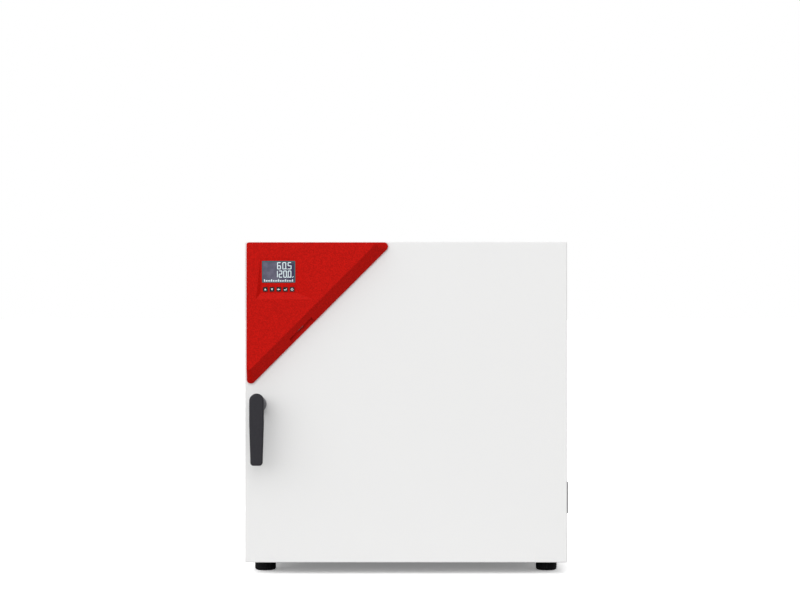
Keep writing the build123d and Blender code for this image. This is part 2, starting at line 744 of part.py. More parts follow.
# Ring heater round the fan wheel, its two ends led out through the liner
heater_setback = 16.0
heater_tail = 12.0
heater_y = liner_back_y - heater_setback
with BuildPart() as ring_heater:
    with BuildLine(facing(heater_y)) as heater_ring:
        CenterArc((mid_x, mid_z), heater_radius, heater_gap_angle - 90, 360 - 2 * heater_gap_angle)
    with BuildSketch(Plane(heater_ring.line @ 0, z_dir=heater_ring.line % 0)):
        Circle(heater_tube)
    sweep(path=heater_ring.line)
    with Locations(
        (mid_x - terminal_spread, heater_y, terminal_z),
        (mid_x + terminal_spread, heater_y, terminal_z),
    ):
        Sphere(heater_tube)
    with BuildSketch(facing(heater_y)):
        with Locations((mid_x - terminal_spread, terminal_z), (mid_x + terminal_spread, terminal_z)):
            Circle(heater_tube)
    extrude(amount=-(liner_end_y + heater_tail - heater_y))
ring_heater.part.label = "ring_heater"
export_step(ring_heater.part, "parts/ring_heater.step")

# Control probe and safety probe, each with a hexagonal gland on the liner's back
probe_gland_radius = 6.0
probe_gland = 5.0
probe_nose = 20.0
probe_tail = 10.0
probe_front_y = baffle_y - probe_nose
with BuildPart() as temperature_probes:
    with BuildSketch(facing(probe_front_y)):
        with Locations((probe_x, probe_z), (probe_x, probe_z - probe_pitch)):
            Circle(probe_radius)
    extrude(amount=-(liner_end_y + probe_tail - probe_front_y))
    with BuildSketch(facing(liner_end_y)):
        with Locations((probe_x, probe_z), (probe_x, probe_z - probe_pitch)):
            RegularPolygon(probe_gland_radius, 6)
    extrude(amount=-probe_gland)
temperature_probes.part.label = "temperature_probes"
export_step(temperature_probes.part, "parts/temperature_probes.step")

# Exhaust duct with its collar on the rear cover and cross holes for the flap's shaft
duct_collar_wall = 2.0
duct_lip = 1.0
flap_shaft_radius = 2.0
with BuildPart() as exhaust_duct:
    with BuildSketch(facing(liner_back_y)):
        with Locations((mid_x, duct_z)):
            Circle(duct_outer_radius)
    extrude(amount=-(duct_end_y - liner_back_y))
    chamfer(exhaust_duct.edges().group_by(Axis.Y)[-1], duct_lip)
    with BuildSketch(facing(rear_y)):
        with Locations((mid_x, duct_z)):
            Circle(duct_collar)
    extrude(amount=-duct_collar_wall)
    with BuildSketch(facing(liner_back_y)):
        with Locations((mid_x, duct_z)):
            Circle(duct_bore_radius)
    extrude(amount=-(duct_end_y - liner_back_y), mode=Mode.SUBTRACT)
    with BuildSketch(sideways(mid_x)):
        with Locations((flap_y, duct_z)):
            Circle(flap_shaft_radius + bearing_gap)
    extrude(amount=2 * duct_outer_radius, both=True, mode=Mode.SUBTRACT)
exhaust_duct.part.label = "exhaust_duct"
export_step(exhaust_duct.part, "parts/exhaust_duct.step")

# Exhaust flap: a disc on a cross shaft, turned by the flap motor
flap_edge_gap = 0.5
flap_wall = 1.5
flap_end_gap = 0.3
flap_grip = 14.0
flap_motor_left_x = flap_motor_x - flap_motor_width / 2
with BuildPart() as exhaust_flap:
    with BuildSketch(facing(flap_y - flap_wall / 2)):
        with Locations((mid_x, duct_z)):
            Circle(duct_bore_radius - flap_edge_gap)
    extrude(amount=-flap_wall)
    with BuildSketch(sideways(mid_x - duct_outer_radius + flap_end_gap)):
        with Locations((flap_y, duct_z)):
            Circle(flap_shaft_radius)
    extrude(amount=flap_motor_left_x + flap_grip - (mid_x - duct_outer_radius + flap_end_gap))
exhaust_flap.part.label = "exhaust_flap"
export_step(exhaust_flap.part, "parts/exhaust_flap.step")

with BuildPart() as flap_motor:
    with BuildSketch(facing(flap_y - flap_motor_depth / 2)):
        with Locations((flap_motor_x, duct_z)):
            RectangleRounded(flap_motor_width, flap_motor_height, shell_corner)
    extrude(amount=-(cover_y - flap_y + flap_motor_depth / 2))
    with BuildSketch(sideways(flap_motor_left_x)):
        with Locations((flap_y, duct_z)):
            Circle(flap_shaft_radius + bearing_gap)
    extrude(amount=flap_grip + flap_end_gap, mode=Mode.SUBTRACT)
flap_motor.part.label = "flap_motor"
export_step(flap_motor.part, "parts/flap_motor.step")

# Mains inlet: appliance socket with two cut corners, and its three contact blades
inlet_flange_width = 50.0
inlet_flange_height = 24.0
inlet_flange_wall = 3.0
inlet_flange_corner = 3.0
inlet_cavity_width = 24.0
inlet_cavity_height = 16.5
inlet_cavity_depth = 17.0
inlet_cut_corner = 4.0
blade_width = 2.0
blade_height = 4.0
blade_spread = 14.0
blade_offset = 2.0
blade_length = 12.0
inlet_face_y = rear_y + inlet_flange_wall
inlet_floor_y = inlet_face_y - inlet_cavity_depth
inlet_back_y = rear_y - inlet_depth
blade_places = [
    (inlet_x - blade_spread / 2, inlet_z - blade_offset),
    (inlet_x, inlet_z + blade_offset),
    (inlet_x + blade_spread / 2, inlet_z - blade_offset),
]
with BuildPart() as mains_inlet:
    with BuildSketch(facing(rear_y)):
        with Locations((inlet_x, inlet_z)):
            RectangleRounded(inlet_flange_width, inlet_flange_height, inlet_flange_corner)
            with GridLocations(inlet_screw_pitch, inlet_height, 2, 1):
                Circle(inlet_screw_radius, mode=Mode.SUBTRACT)
    extrude(amount=-inlet_flange_wall)
    with BuildSketch(facing(inlet_back_y)):
        with Locations((inlet_x, inlet_z)):
            Rectangle(inlet_width, inlet_height)
    extrude(amount=-inlet_depth)
    with BuildSketch(facing(inlet_floor_y)) as inlet_cavity:
        with Locations((inlet_x, inlet_z)):
            Rectangle(inlet_cavity_width, inlet_cavity_height)
        chamfer(inlet_cavity.vertices().group_by(Axis.Y)[-1], inlet_cut_corner)
    extrude(amount=-inlet_cavity_depth, mode=Mode.SUBTRACT)
    with BuildSketch(facing(inlet_back_y)):
        with Locations(blade_places):
            Rectangle(blade_width + 2 * seat_gap, blade_height + 2 * seat_gap)
    extrude(amount=-(inlet_floor_y - inlet_back_y), mode=Mode.SUBTRACT)
mains_inlet.part.label = "mains_inlet"
export_step(mains_inlet.part, "parts/mains_inlet.step")

with BuildPart() as inlet_contacts:
    with BuildSketch(facing(inlet_back_y - inlet_tab)):
        with Locations(blade_places):
            Rectangle(blade_width, blade_height)
    extrude(amount=-(inlet_floor_y + blade_length - inlet_back_y + inlet_tab))
inlet_contacts.part.label = "inlet_contacts"
export_step(inlet_contacts.part, "parts/inlet_contacts.step")

# Side bezel: bevelled dish with a tub behind it, holding the switch, the knob and the socket
panel_bevel = 4.0
panel_dish = 6.0
panel_rim_y = 12.0
panel_rim_z = 10.0
panel_dish_corner = 5.0
switch_back = 34.0
knob_back = 95.0
socket_back = 150.0
switch_width = 19.0
switch_height = 29.0
switch_depth = 20.0
switch_flange = 1.5
switch_flange_wall = 1.2
knob_radius = 13.0
knob_height = 5.0
knob_shaft_radius = 3.0
knob_shaft_length = 14.0
knob_relief = 8.0
socket_width = 16.0
socket_height = 14.0
socket_depth = 18.0
switch_y = panel_front_y + switch_back
knob_y = panel_front_y + knob_back
socket_y = panel_front_y + socket_back
panel_face_x = right_x + panel_proud - panel_dish
panel_inner_x = panel_face_x - panel_wall
panel_tub_x = right_x - panel_sink
with BuildPart() as side_bezel:
    with BuildSketch(sideways(right_x)):
        with Locations((panel_mid_y, panel_z)):
            RectangleRounded(panel_length, panel_height, panel_bevel)
    extrude(amount=panel_proud)
    chamfer(side_bezel.edges().group_by(Axis.X)[-1], panel_bevel)
    with BuildSketch(sideways(panel_tub_x)):
        with Locations((panel_mid_y, panel_z)):
            Rectangle(panel_hole_length - 2 * sheet_gap, panel_hole_height - 2 * sheet_gap)
    extrude(amount=panel_sink)
    with BuildSketch(sideways(panel_tub_x)):
        with Locations((panel_mid_y, panel_z)):
            Rectangle(
                panel_hole_length - 2 * sheet_gap - 2 * panel_wall,
                panel_hole_height - 2 * sheet_gap - 2 * panel_wall,
            )
    extrude(amount=panel_inner_x - panel_tub_x, mode=Mode.SUBTRACT)
    with BuildSketch(sideways(panel_face_x)):
        with Locations((panel_mid_y, panel_z)):
            RectangleRounded(
                panel_length - 2 * panel_rim_y,
                panel_height - 2 * panel_rim_z,
                panel_dish_corner,
            )
    extrude(amount=panel_dish, mode=Mode.SUBTRACT)
    with BuildSketch(sideways(panel_face_x)):
        with Locations((switch_y, panel_z)):
            Rectangle(switch_width + 2 * seat_gap, switch_height + 2 * seat_gap)
        with Locations((knob_y, panel_z)):
            Circle(knob_relief)
        with Locations((socket_y, panel_z)):
            Rectangle(socket_width + 2 * seat_gap, socket_height + 2 * seat_gap)
    extrude(amount=-panel_wall, mode=Mode.SUBTRACT)
side_bezel.part.label = "side_bezel"
export_step(side_bezel.part, "parts/side_bezel.step")

# Main switch: a frame with a round-bottomed well, and the rocker that tips in it
rocker_radius = 13.0
rocker_width = 14.0
rocker_crown = 3.5
rocker_slope = 10.0
rocker_pin_radius = 1.5
rocker_pin_length = 1.2
rocker_sink = 1.0
rocker_x = panel_face_x - rocker_sink - rocker_crown
switch_wall_y = rocker_width / 2 + slide_gap
with BuildPart() as power_switch:
    with BuildSketch(sideways(panel_face_x)):
        with Locations((switch_y, panel_z)):
            RectangleRounded(
                switch_width + 2 * switch_flange,
                switch_height + 2 * switch_flange,
                switch_flange,
            )
    extrude(amount=switch_flange_wall)
    with BuildSketch(sideways(panel_face_x)):
        with Locations((switch_y, panel_z)):
            Rectangle(switch_width, switch_height)
    extrude(amount=-switch_depth)
    with BuildSketch(facing(switch_y - switch_wall_y)):
        with Locations((rocker_x, panel_z)):
            Circle(rocker_radius + slide_gap)
    extrude(amount=-2 * switch_wall_y, mode=Mode.SUBTRACT)
    with BuildSketch(facing(switch_y - switch_wall_y - rocker_pin_length)):
        with Locations((rocker_x, panel_z)):
            Circle(rocker_pin_radius + bearing_gap)
    extrude(amount=-2 * (switch_wall_y + rocker_pin_length), mode=Mode.SUBTRACT)
power_switch.part.label = "power_switch"
export_step(power_switch.part, "parts/power_switch.step")

rocker_rise = rocker_radius * sin(radians(rocker_slope))
with BuildPart() as level_rocker:
    with BuildSketch(facing(switch_y - rocker_width / 2)):
        with Locations((rocker_x, panel_z)):
            Circle(rocker_radius)
    extrude(amount=-rocker_width)
    with BuildSketch(facing(switch_y - rocker_width / 2)):
        with BuildLine():
            Polyline(
                (rocker_x + rocker_crown, panel_z),
                (rocker_x + rocker_crown + rocker_rise, panel_z + rocker_radius),
                (rocker_x + 2 * rocker_radius, panel_z + rocker_radius),
                (rocker_x + 2 * rocker_radius, panel_z - rocker_radius),
                (rocker_x + rocker_crown + rocker_rise, panel_z - rocker_radius),
                close=True,
            )
        make_face()
    extrude(amount=-rocker_width, mode=Mode.SUBTRACT)
    with BuildSketch(facing(switch_y - rocker_width / 2 - rocker_pin_length)):
        with Locations((rocker_x, panel_z)):
            Circle(rocker_pin_radius)
    extrude(amount=-(rocker_width + 2 * rocker_pin_length))
rocker_pivot = Axis((rocker_x, switch_y, panel_z), (0, 1, 0))
with BuildPart() as switch_rocker:
    add(level_rocker.part.rotate(rocker_pivot, -rocker_slope))
switch_rocker.part.label = "switch_rocker"
export_step(switch_rocker.part, "parts/switch_rocker.step")

# Safety thermostat: body behind the face, knob with a coin slot in front
thermostat_width = 30.0
thermostat_depth = 18.0
thermostat_boss = 2.0
knob_slot_width = 2.0
knob_slot_depth = 1.5
knob_chamfer = 1.0
knob_face_gap = 0.3
knob_shaft_room = 1.0
knob_grip_radius = 1.2
knob_grip_count = 12
knob_slot_length = 18.0
with BuildPart() as thermostat_body:
    with BuildSketch(sideways(panel_inner_x)):
        with Locations((knob_y, panel_z)):
            RectangleRounded(thermostat_width, thermostat_width, panel_bevel)
    extrude(amount=-thermostat_depth)
    with BuildSketch(sideways(panel_inner_x)):
        with Locations((knob_y, panel_z)):
            Circle(knob_relief - knob_face_gap)
    extrude(amount=thermostat_boss)
    with BuildSketch(sideways(panel_inner_x + thermostat_boss)):
        with Locations((knob_y, panel_z)):
            Circle(knob_shaft_radius + bearing_gap)
    extrude(amount=-(knob_shaft_length + knob_shaft_room), mode=Mode.SUBTRACT)
thermostat_body.part.label = "thermostat_body"
export_step(thermostat_body.part, "parts/thermostat_body.step")

knob_back_x = panel_face_x + knob_face_gap
knob_tip_x = panel_inner_x + thermostat_boss - knob_shaft_length
with BuildPart() as thermostat_knob:
    with BuildSketch(sideways(knob_back_x)):
        with Locations((knob_y, panel_z)):
            Circle(knob_radius)
            with PolarLocations(knob_radius, knob_grip_count):
                Circle(knob_grip_radius, mode=Mode.SUBTRACT)
    extrude(amount=knob_height)
    chamfer(thermostat_knob.edges().group_by(Axis.X)[-1], knob_chamfer)
    with BuildSketch(sideways(knob_back_x + knob_height)):
        with Locations((knob_y, panel_z)):
            Rectangle(knob_slot_width, knob_slot_length)
    extrude(amount=-knob_slot_depth, mode=Mode.SUBTRACT)
    with BuildSketch(sideways(knob_tip_x)):
        with Locations((knob_y, panel_z)):
            Circle(knob_shaft_radius)
    extrude(amount=knob_back_x - knob_tip_x)
thermostat_knob.part.label = "thermostat_knob"
export_step(thermostat_knob.part, "parts/thermostat_knob.step")

# Network socket: a plain jack with a stepped mouth
jack_width = 11.8
jack_height = 7.0
jack_step_width = 6.0
jack_step_height = 3.0
jack_depth = 12.0
jack_flange = 0.8
with BuildPart() as network_socket:
    with BuildSketch(sideways(panel_face_x)):
        with Locations((socket_y, panel_z)):
            Rectangle(socket_width, socket_height)
    extrude(amount=-socket_depth)
    with BuildSketch(sideways(panel_face_x)):
        with Locations((socket_y, panel_z)):
            Rectangle(socket_width + 2 * jack_flange, socket_height + 2 * jack_flange)
    extrude(amount=jack_flange)
    with BuildSketch(sideways(panel_face_x + jack_flange)):
        with Locations((socket_y, panel_z)):
            Rectangle(jack_width, jack_height)
        with Locations((socket_y, panel_z - (jack_height + jack_step_height) / 2)):
            Rectangle(jack_step_width, jack_step_height)
    extrude(amount=-jack_depth, mode=Mode.SUBTRACT)
network_socket.part.label = "network_socket"
export_step(network_socket.part, "parts/network_socket.step")

# Power board that closes the tub, with a transformer and two relays on its far side
board_wall = 1.6
board_margin = 1.0
transformer_size = 30.0
transformer_height = 26.0
relay_length = 20.0
relay_width = 14.0
relay_height = 15.0
relay_pitch = 26.0
with BuildPart() as power_board:
    with BuildSketch(sideways(panel_tub_x)):
        with Locations((panel_mid_y, panel_z)):
            Rectangle(panel_hole_length - 2 * board_margin, panel_hole_height - 2 * board_margin)
    extrude(amount=-board_wall)
    with BuildSketch(sideways(panel_tub_x - board_wall)):
        with Locations((switch_y, panel_z)):
            RectangleRounded(transformer_size, transformer_size, board_wall)
    extrude(amount=-transformer_height)
    with BuildSketch(sideways(panel_tub_x - board_wall)):
        with Locations((knob_y, panel_z), (knob_y + relay_pitch, panel_z)):
            Rectangle(relay_length, relay_width)
    extrude(amount=-relay_height)
power_board.part.label = "power_board"
export_step(power_board.part, "parts/power_board.step")

# Small round cap in the right wall
cap_dome = 1.2
with BuildPart() as side_cap:
    with BuildSketch(sideways(right_x)):
        with Locations((cap_y, cap_z)):
            Circle(cap_radius)
    extrude(amount=cap_proud)
    fillet(side_cap.edges().group_by(Axis.X)[-1], cap_dome)
    with BuildSketch(sideways(right_x)):
        with Locations((cap_y, cap_z)):
            Circle(cap_stem_radius)
    extrude(amount=-shell_wall)
side_cap.part.label = "side_cap"
export_step(side_cap.part, "parts/side_cap.step")

# Latch keeper behind the front frame; its lip stops just beside the cam's path
keeper_wall = 2.5
keeper_overlap = 10.0
keeper_lip = 1.2
keeper_left_x = spindle_x + cam_length + cam_clearance
keeper_right_x = spindle_x + latch_right + keeper_overlap
with BuildPart() as latch_keeper:
    with BuildSketch(facing(liner_y)):
        with Locations(((keeper_left_x + keeper_right_x) / 2, spindle_z)):
            Rectangle(keeper_right_x - keeper_left_x, keeper_height)
    extrude(amount=-keeper_wall)
    chamfer(latch_keeper.faces().sort_by(Axis.X)[0].edges().sort_by(Axis.Y)[0], keeper_lip)
latch_keeper.part.label = "latch_keeper"
export_step(latch_keeper.part, "parts/latch_keeper.step")

# Hinges


def upside_down(part):
    """Mirror image of the part in the middle height of the body."""
    return mirror(part, about=Plane.XY.offset(mid_z))


with BuildPart() as hinge_arm:
    with BuildSketch(Plane.XY.offset(arm_low_z)):
        with Locations((hinge_x, (hinge_y + frame_y) / 2)):
            Rectangle(2 * hinge_arm_half, frame_y - hinge_y)
        with Locations((hinge_x, hinge_y)):
            Circle(hinge_arm_half)
            Circle(hinge_pin_radius + seat_gap, mode=Mode.SUBTRACT)
    extrude(amount=hinge_arm_wall)
    with BuildSketch(facing(frame_y - hinge_leg_wall)):
        with Locations((leg_mid_x, leg_mid_z)):
            Rectangle(leg_right_x - leg_left_x, hinge_leg_height)
        with Locations(hinge_screw_places):
            Circle(hinge_screw_radius + seat_gap, mode=Mode.SUBTRACT)
    extrude(amount=-hinge_leg_wall)
    with BuildSketch(facing(frame_y - hinge_leg_wall)):
        with Locations(hinge_screw_places):
            Circle(hinge_head_radius + seat_gap)
    extrude(amount=-hinge_head_height, mode=Mode.SUBTRACT)
with BuildPart() as hinge_arms:
    add([hinge_arm.part, upside_down(hinge_arm.part)])
hinge_arms.part.label = "hinge_arms"
export_step(hinge_arms.part, "parts/hinge_arms.step")

with BuildPart() as hinge_pin:
    with BuildSketch(Plane.XY.offset(arm_top_z)):
        with Locations((hinge_x, hinge_y)):
            Circle(hinge_pin_radius)
    extrude(amount=-(hinge_arm_wall + hinge_notch_clear + hinge_pin_reach))
    chamfer(hinge_pin.edges().group_by(Axis.Z)[0], hinge_pin_radius / 4)
with BuildPart() as hinge_pins:
    add([hinge_pin.part, upside_down(hinge_pin.part)])
hinge_pins.part.label = "hinge_pins"
export_step(hinge_pins.part, "parts/hinge_pins.step")

# Low heads flush in the arm's leg; the shanks go through the frame
with BuildPart() as hinge_screw:
    with BuildSketch(facing(frame_y - hinge_leg_wall)):
        with Locations(hinge_screw_places):
            Circle(hinge_head_radius)
    extrude(amount=-hinge_head_height)
    with BuildSketch(facing(frame_y - hinge_leg_wall)):
        with Locations(hinge_screw_places):
            Circle(hinge_screw_radius)
    extrude(amount=-(hinge_leg_wall + hinge_screw_length))
with BuildPart() as hinge_screws:
    add([hinge_screw.part, upside_down(hinge_screw.part)])
hinge_screws.part.label = "hinge_screws"
export_step(hinge_screws.part, "parts/hinge_screws.step")


# Space round each hinge arm, open to the door's top, right side and back
with BuildPart() as top_notch:
    with BuildSketch(Plane.XY.offset(notch_z)):
        with Locations(((notch_left_x + right_x + door_wall) / 2, (notch_front_y + frame_y) / 2)):
            Rectangle(right_x + door_wall - notch_left_x, frame_y - notch_front_y)
    extrude(amount=top_z + door_wall - notch_z)
with BuildPart() as hinge_notches:
    add([top_notch.part, upside_down(top_notch.part)])

# Hinge blocks fill the door's right corners and carry the bushes
block_left_x = hinge_x - hinge_block_margin
block_right_x = right_x - door_wall
block_front_y = door_y + door_wall
block_back_y = door_back_y - door_wall
block_top_z = top_z - door_wall
with BuildPart() as hinge_block:
    with Locations(
        (
            (block_left_x + block_right_x) / 2,
            (block_front_y + block_back_y) / 2,
            block_top_z - hinge_block_height / 2,
        )
    ):
        Box(block_right_x - block_left_x, block_back_y - block_front_y, hinge_block_height)
    add(top_notch.part, mode=Mode.SUBTRACT)
    with BuildSketch(Plane.XY.offset(notch_z)):
        with Locations((hinge_x, hinge_y)):
            Circle(hinge_pin_radius + bearing_gap + bush_wall + seat_gap)
    extrude(amount=-(hinge_pin_reach + hinge_notch_clear), mode=Mode.SUBTRACT)
with BuildPart() as hinge_blocks:
    add([hinge_block.part, upside_down(hinge_block.part)])
hinge_blocks.part.label = "hinge_blocks"
export_step(hinge_blocks.part, "parts/hinge_blocks.step")

with BuildPart() as hinge_bush:
    with BuildSketch(Plane.XY.offset(notch_z)):
        with Locations((hinge_x, hinge_y)):
            Circle(hinge_pin_radius + bearing_gap + bush_wall + bush_flange)
    extrude(amount=bush_flange_wall)
    with BuildSketch(Plane.XY.offset(notch_z)):
        with Locations((hinge_x, hinge_y)):
            Circle(hinge_pin_radius + bearing_gap + bush_wall)
    extrude(amount=-bush_length)
    with BuildSketch(Plane.XY.offset(notch_z + bush_flange_wall)):
        with Locations((hinge_x, hinge_y)):
            Circle(hinge_pin_radius + bearing_gap)
    extrude(amount=-(bush_length + bush_flange_wall), mode=Mode.SUBTRACT)
with BuildPart() as hinge_bushes:
    add([hinge_bush.part, upside_down(hinge_bush.part)])
hinge_bushes.part.label = "hinge_bushes"
export_step(hinge_bushes.part, "parts/hinge_bushes.step")

# Control housing on the door: where it sits and how far its edges run
housing_left = 4.5
housing_reach = 26.0
housing_land = 4.0
housing_leg = 324.0
housing_face_leg = 289.4
housing_face_tip = 280.0
housing_draft = 0.8
housing_corner = 8.0
housing_face_corner = 5.0
housing_wall = 2.8
housing_x = left_x + housing_left
housing_z = top_z - housing_top
housing_face_y = door_y - housing_reach
housing_land_y = door_y - housing_land

# Bosses in the housing and the screws that come into them from inside the door
boss_radius = 5.0
boss_inset = 22.0
boss_far = 205.0
boss_depth = 14.0
boss_end_gap = 1.0
housing_screw_radius = 2.0
housing_head_radius = 4.0
housing_head_height = 3.0
boss_places = [
    (housing_x + boss_inset, housing_z - boss_inset),
    (housing_x + boss_far, housing_z - boss_inset),
    (housing_x + boss_inset, housing_z - boss_far),
]

# Rosette and sleeve of the handle
rosette_radius = 18.8
rosette_height = 14.0
rosette_rounding = 1.5
sleeve_wall = 3.0
sleeve_radius = spindle_radius + bearing_gap + sleeve_wall
sleeve_hole_radius = sleeve_radius + sheet_gap

# Door outer panel: folded pan with notches at the hinge corners
door_edge = 2.0
with BuildPart() as door_outer_panel:
    with BuildSketch(facing(door_y)):
        with Locations((mid_x, mid_z)):
            RectangleRounded(width, body_height, shell_corner)
    extrude(amount=-door_thickness)
    fillet(door_outer_panel.edges().group_by(Axis.Y)[0], door_edge)
    with BuildSketch(facing(door_y + door_wall)):
        with Locations((mid_x, mid_z)):
            Rectangle(width - 2 * door_wall, body_height - 2 * door_wall)
    extrude(amount=-door_thickness, mode=Mode.SUBTRACT)
    add(hinge_notches.part, mode=Mode.SUBTRACT)
    with BuildSketch(facing(door_y)):
        with Locations((spindle_x, spindle_z)):
            Circle(sleeve_hole_radius)
        with Locations(boss_places):
            Circle(housing_screw_radius + hole_gap)
    extrude(amount=-door_wall, mode=Mode.SUBTRACT)
door_outer_panel.part.label = "door_outer_panel"
export_step(door_outer_panel.part, "parts/door_outer_panel.step")

# Door inner panel: stainless sheet with a raised plateau that enters the chamber's mouth
plateau_gap = 8.0
plateau_depth = 18.0
plateau_edge = 1.5
plateau_wall = 2.0
plateau_width = chamber_width - 2 * plateau_gap
plateau_height = chamber_height - 2 * plateau_gap
panel_sheet_y = door_back_y - door_wall
with BuildPart() as door_inner_panel:
    with BuildSketch(facing(door_back_y)):
        with Locations((mid_x, mid_z)):
            RectangleRounded(plateau_width, plateau_height, chamber_corner)
    extrude(amount=-plateau_depth)
    chamfer(door_inner_panel.edges().group_by(Axis.Y)[-1], plateau_edge)
    with BuildSketch(facing(panel_sheet_y)):
        with Locations((mid_x, mid_z)):
            Rectangle(width - 2 * door_wall - 2 * sheet_gap, body_height - 2 * door_wall - 2 * sheet_gap)
    extrude(amount=-door_wall)
    with BuildSketch(facing(panel_sheet_y)):
        with Locations((mid_x, mid_z)):
            RectangleRounded(
                plateau_width - 2 * plateau_wall,
                plateau_height - 2 * plateau_wall,
                chamber_corner - plateau_wall,
            )
    extrude(amount=-plateau_depth, mode=Mode.SUBTRACT)
    add(hinge_notches.part, mode=Mode.SUBTRACT)
    with BuildSketch(facing(panel_sheet_y)):
        with Locations((spindle_x, spindle_z)):
            Circle(sleeve_hole_radius)
    extrude(amount=-door_wall, mode=Mode.SUBTRACT)
door_inner_panel.part.label = "door_inner_panel"
export_step(door_inner_panel.part, "parts/door_inner_panel.step")

# Door wool between the two panels, with room for the hinge blocks, the sleeve and the screws
with BuildPart() as door_insulation:
    with BuildSketch(facing(block_front_y + wool_gap)):
        with Locations((mid_x, mid_z)):
            Rectangle(width - 2 * door_wall - 2 * wool_gap, body_height - 2 * door_wall - 2 * wool_gap)
    extrude(amount=-(block_back_y - block_front_y - 2 * wool_gap))
    with BuildSketch(facing(panel_sheet_y - wool_gap)):
        with Locations((mid_x, mid_z)):
            RectangleRounded(
                plateau_width - 2 * plateau_wall - 2 * wool_gap,
                plateau_height - 2 * plateau_wall - 2 * wool_gap,
                chamber_corner - plateau_wall,
            )
    extrude(amount=-(plateau_depth - wool_gap))
    for corner_z in (block_top_z, bottom_z + door_wall):
        with Locations((block_right_x, (block_front_y + block_back_y) / 2, corner_z)):
            Box(
                2 * (block_right_x - block_left_x + wool_gap),
                door_thickness,
                2 * (hinge_block_height + wool_gap),
                mode=Mode.SUBTRACT,
            )
    with BuildSketch(facing(door_y)):
        with Locations((spindle_x, spindle_z)):
            Circle(sleeve_radius + wool_gap)
    extrude(amount=-door_thickness, mode=Mode.SUBTRACT)
    with BuildSketch(facing(block_front_y)):
        with Locations(boss_places):
            Circle(housing_head_radius + wool_gap)
    extrude(amount=-(housing_head_height + wool_gap), mode=Mode.SUBTRACT)
door_insulation.part.label = "door_insulation"
export_step(door_insulation.part, "parts/door_insulation.step")

# Silicone gasket: a closed ring on the inner panel that meets the frame round the mouth
gasket_inset = 2.0
gasket_width = 14.0
gasket_rounding = 2.0
gasket_inner_width = chamber_width + 2 * gasket_inset
gasket_inner_height = chamber_height + 2 * gasket_inset
gasket_corner = chamber_corner + gasket_inset
with BuildPart() as door_gasket:
    with BuildSketch(facing(door_back_y)):
        with Locations((mid_x, mid_z)):
            RectangleRounded(
                gasket_inner_width + 2 * gasket_width,
                gasket_inner_height + 2 * gasket_width,
                gasket_corner + gasket_width,
            )
            RectangleRounded(gasket_inner_width, gasket_inner_height, gasket_corner, mode=Mode.SUBTRACT)
    extrude(amount=-(door_gap - soft_gap))
    chamfer(door_gasket.edges().group_by(Axis.Y)[-1], gasket_rounding)
door_gasket.part.label = "door_gasket"
export_step(door_gasket.part, "parts/door_gasket.step")

# Sunk deck of the housing: floor that slopes down to the keys, ramps on the other three sides
recess_left = 36.0
recess_right = 115.5
recess_top = 36.0
recess_floor_end = 113.0
recess_end = 127.0
recess_end_left = 26.0
recess_end_right = 153.0
recess_depth = 5.0
recess_lead = 2.0
deck_slope = recess_depth / (recess_floor_end - recess_top)
deck_angle = atan2(recess_depth, recess_floor_end - recess_top)
deck_mid_x = left_x + (recess_left + recess_right) / 2
deck = Plane(
    origin=(deck_mid_x, housing_face_y, top_z - recess_top),
    x_dir=(1, 0, 0),
    z_dir=(0, -cos(deck_angle), -sin(deck_angle)),
)


def housing_outline(y, inset, leg, tip, corner):
    """Right-angled triangle with blunt tips, moved in from its edges by the inset."""
    corner_x = housing_x + inset
    corner_z = housing_z - inset
    inset_leg = leg - (2 + sqrt(2)) * inset
    inset_tip = tip - 2 * inset
    with BuildSketch(facing(y)) as outline:
        with BuildLine():
            Polyline(
                (corner_x, corner_z),
                (corner_x + inset_tip, corner_z),
                (corner_x + inset_tip, corner_z - inset_leg + inset_tip),
                (corner_x + inset_leg - inset_tip, corner_z - inset_tip),
                (corner_x, corner_z - inset_tip),
                close=True,
            )
        make_face()
        fillet(outline.vertices(), corner)
    return outline.sketch


def housing_form(wall):
    """The housing's outer form, or with a wall its hollow, open towards the door."""
    base_corner = housing_corner - wall
    face_corner = housing_face_corner - wall
    base = housing_outline(door_y, wall, housing_leg, housing_tip, base_corner)
    land = housing_outline(housing_land_y, wall, housing_leg, housing_tip, base_corner)
    face = housing_outline(
        housing_face_y + wall,
        wall + housing_draft,
        housing_face_leg,
        housing_face_tip,
        face_corner,
    )
    with BuildPart() as form:
        extrude(base, amount=housing_land)
        loft([land.face(), face.face()], ruled=True)
    return form.part


def recess_form(wall):
    """The sunk deck's hollow, or with a wall the block of material round it."""
    left = left_x + recess_left - wall
    right = left_x + recess_right + wall
    end_left = left_x + recess_end_left - wall
    end_right = left_x + recess_end_right + wall
    high = top_z - recess_top + wall
    floor_low = top_z - recess_floor_end - wall
    low = top_z - recess_end - wall
    front = housing_face_y - recess_lead
    face = housing_face_y + wall
    rise = wall * deck_slope
    with BuildPart() as form:
        ConvexPolyhedron(
            [
                (left, front, high),
                (right, front, high),
                (end_left, front, low),
                (end_right, front, low),
                (left, face - rise, high),
                (right, face - rise, high),
                (end_left, face, low),
                (end_right, face, low),
                (left, face + recess_depth + rise, floor_low),
                (right, face + recess_depth + rise, floor_low),
            ]
        )
    return form.part


# Pocket in the long bevel with the USB socket in its back wall
pocket_reach = 162.0
pocket_shift = -50.0
pocket_length = 68.0
pocket_sink = 11.7
pocket_floor = 3.0
pocket_wall = 2.5
pocket_open = 30.0
notch_sink = 1.9
notch_ranges = [(30.7, 144.1), (-164.8, -96.3)]
usb_width = 14.0
usb_height = 7.0
usb_depth = 14.0
usb_rise = 8.0
usb_cavity_width = 12.2
usb_cavity_height = 4.6
usb_cavity_depth = 10.0
usb_tongue_wall = 1.6
usb_tongue_length = 8.0
usb_tongue_shift = 1.0
usb_flange = 1.0
usb_flange_wall = 0.6


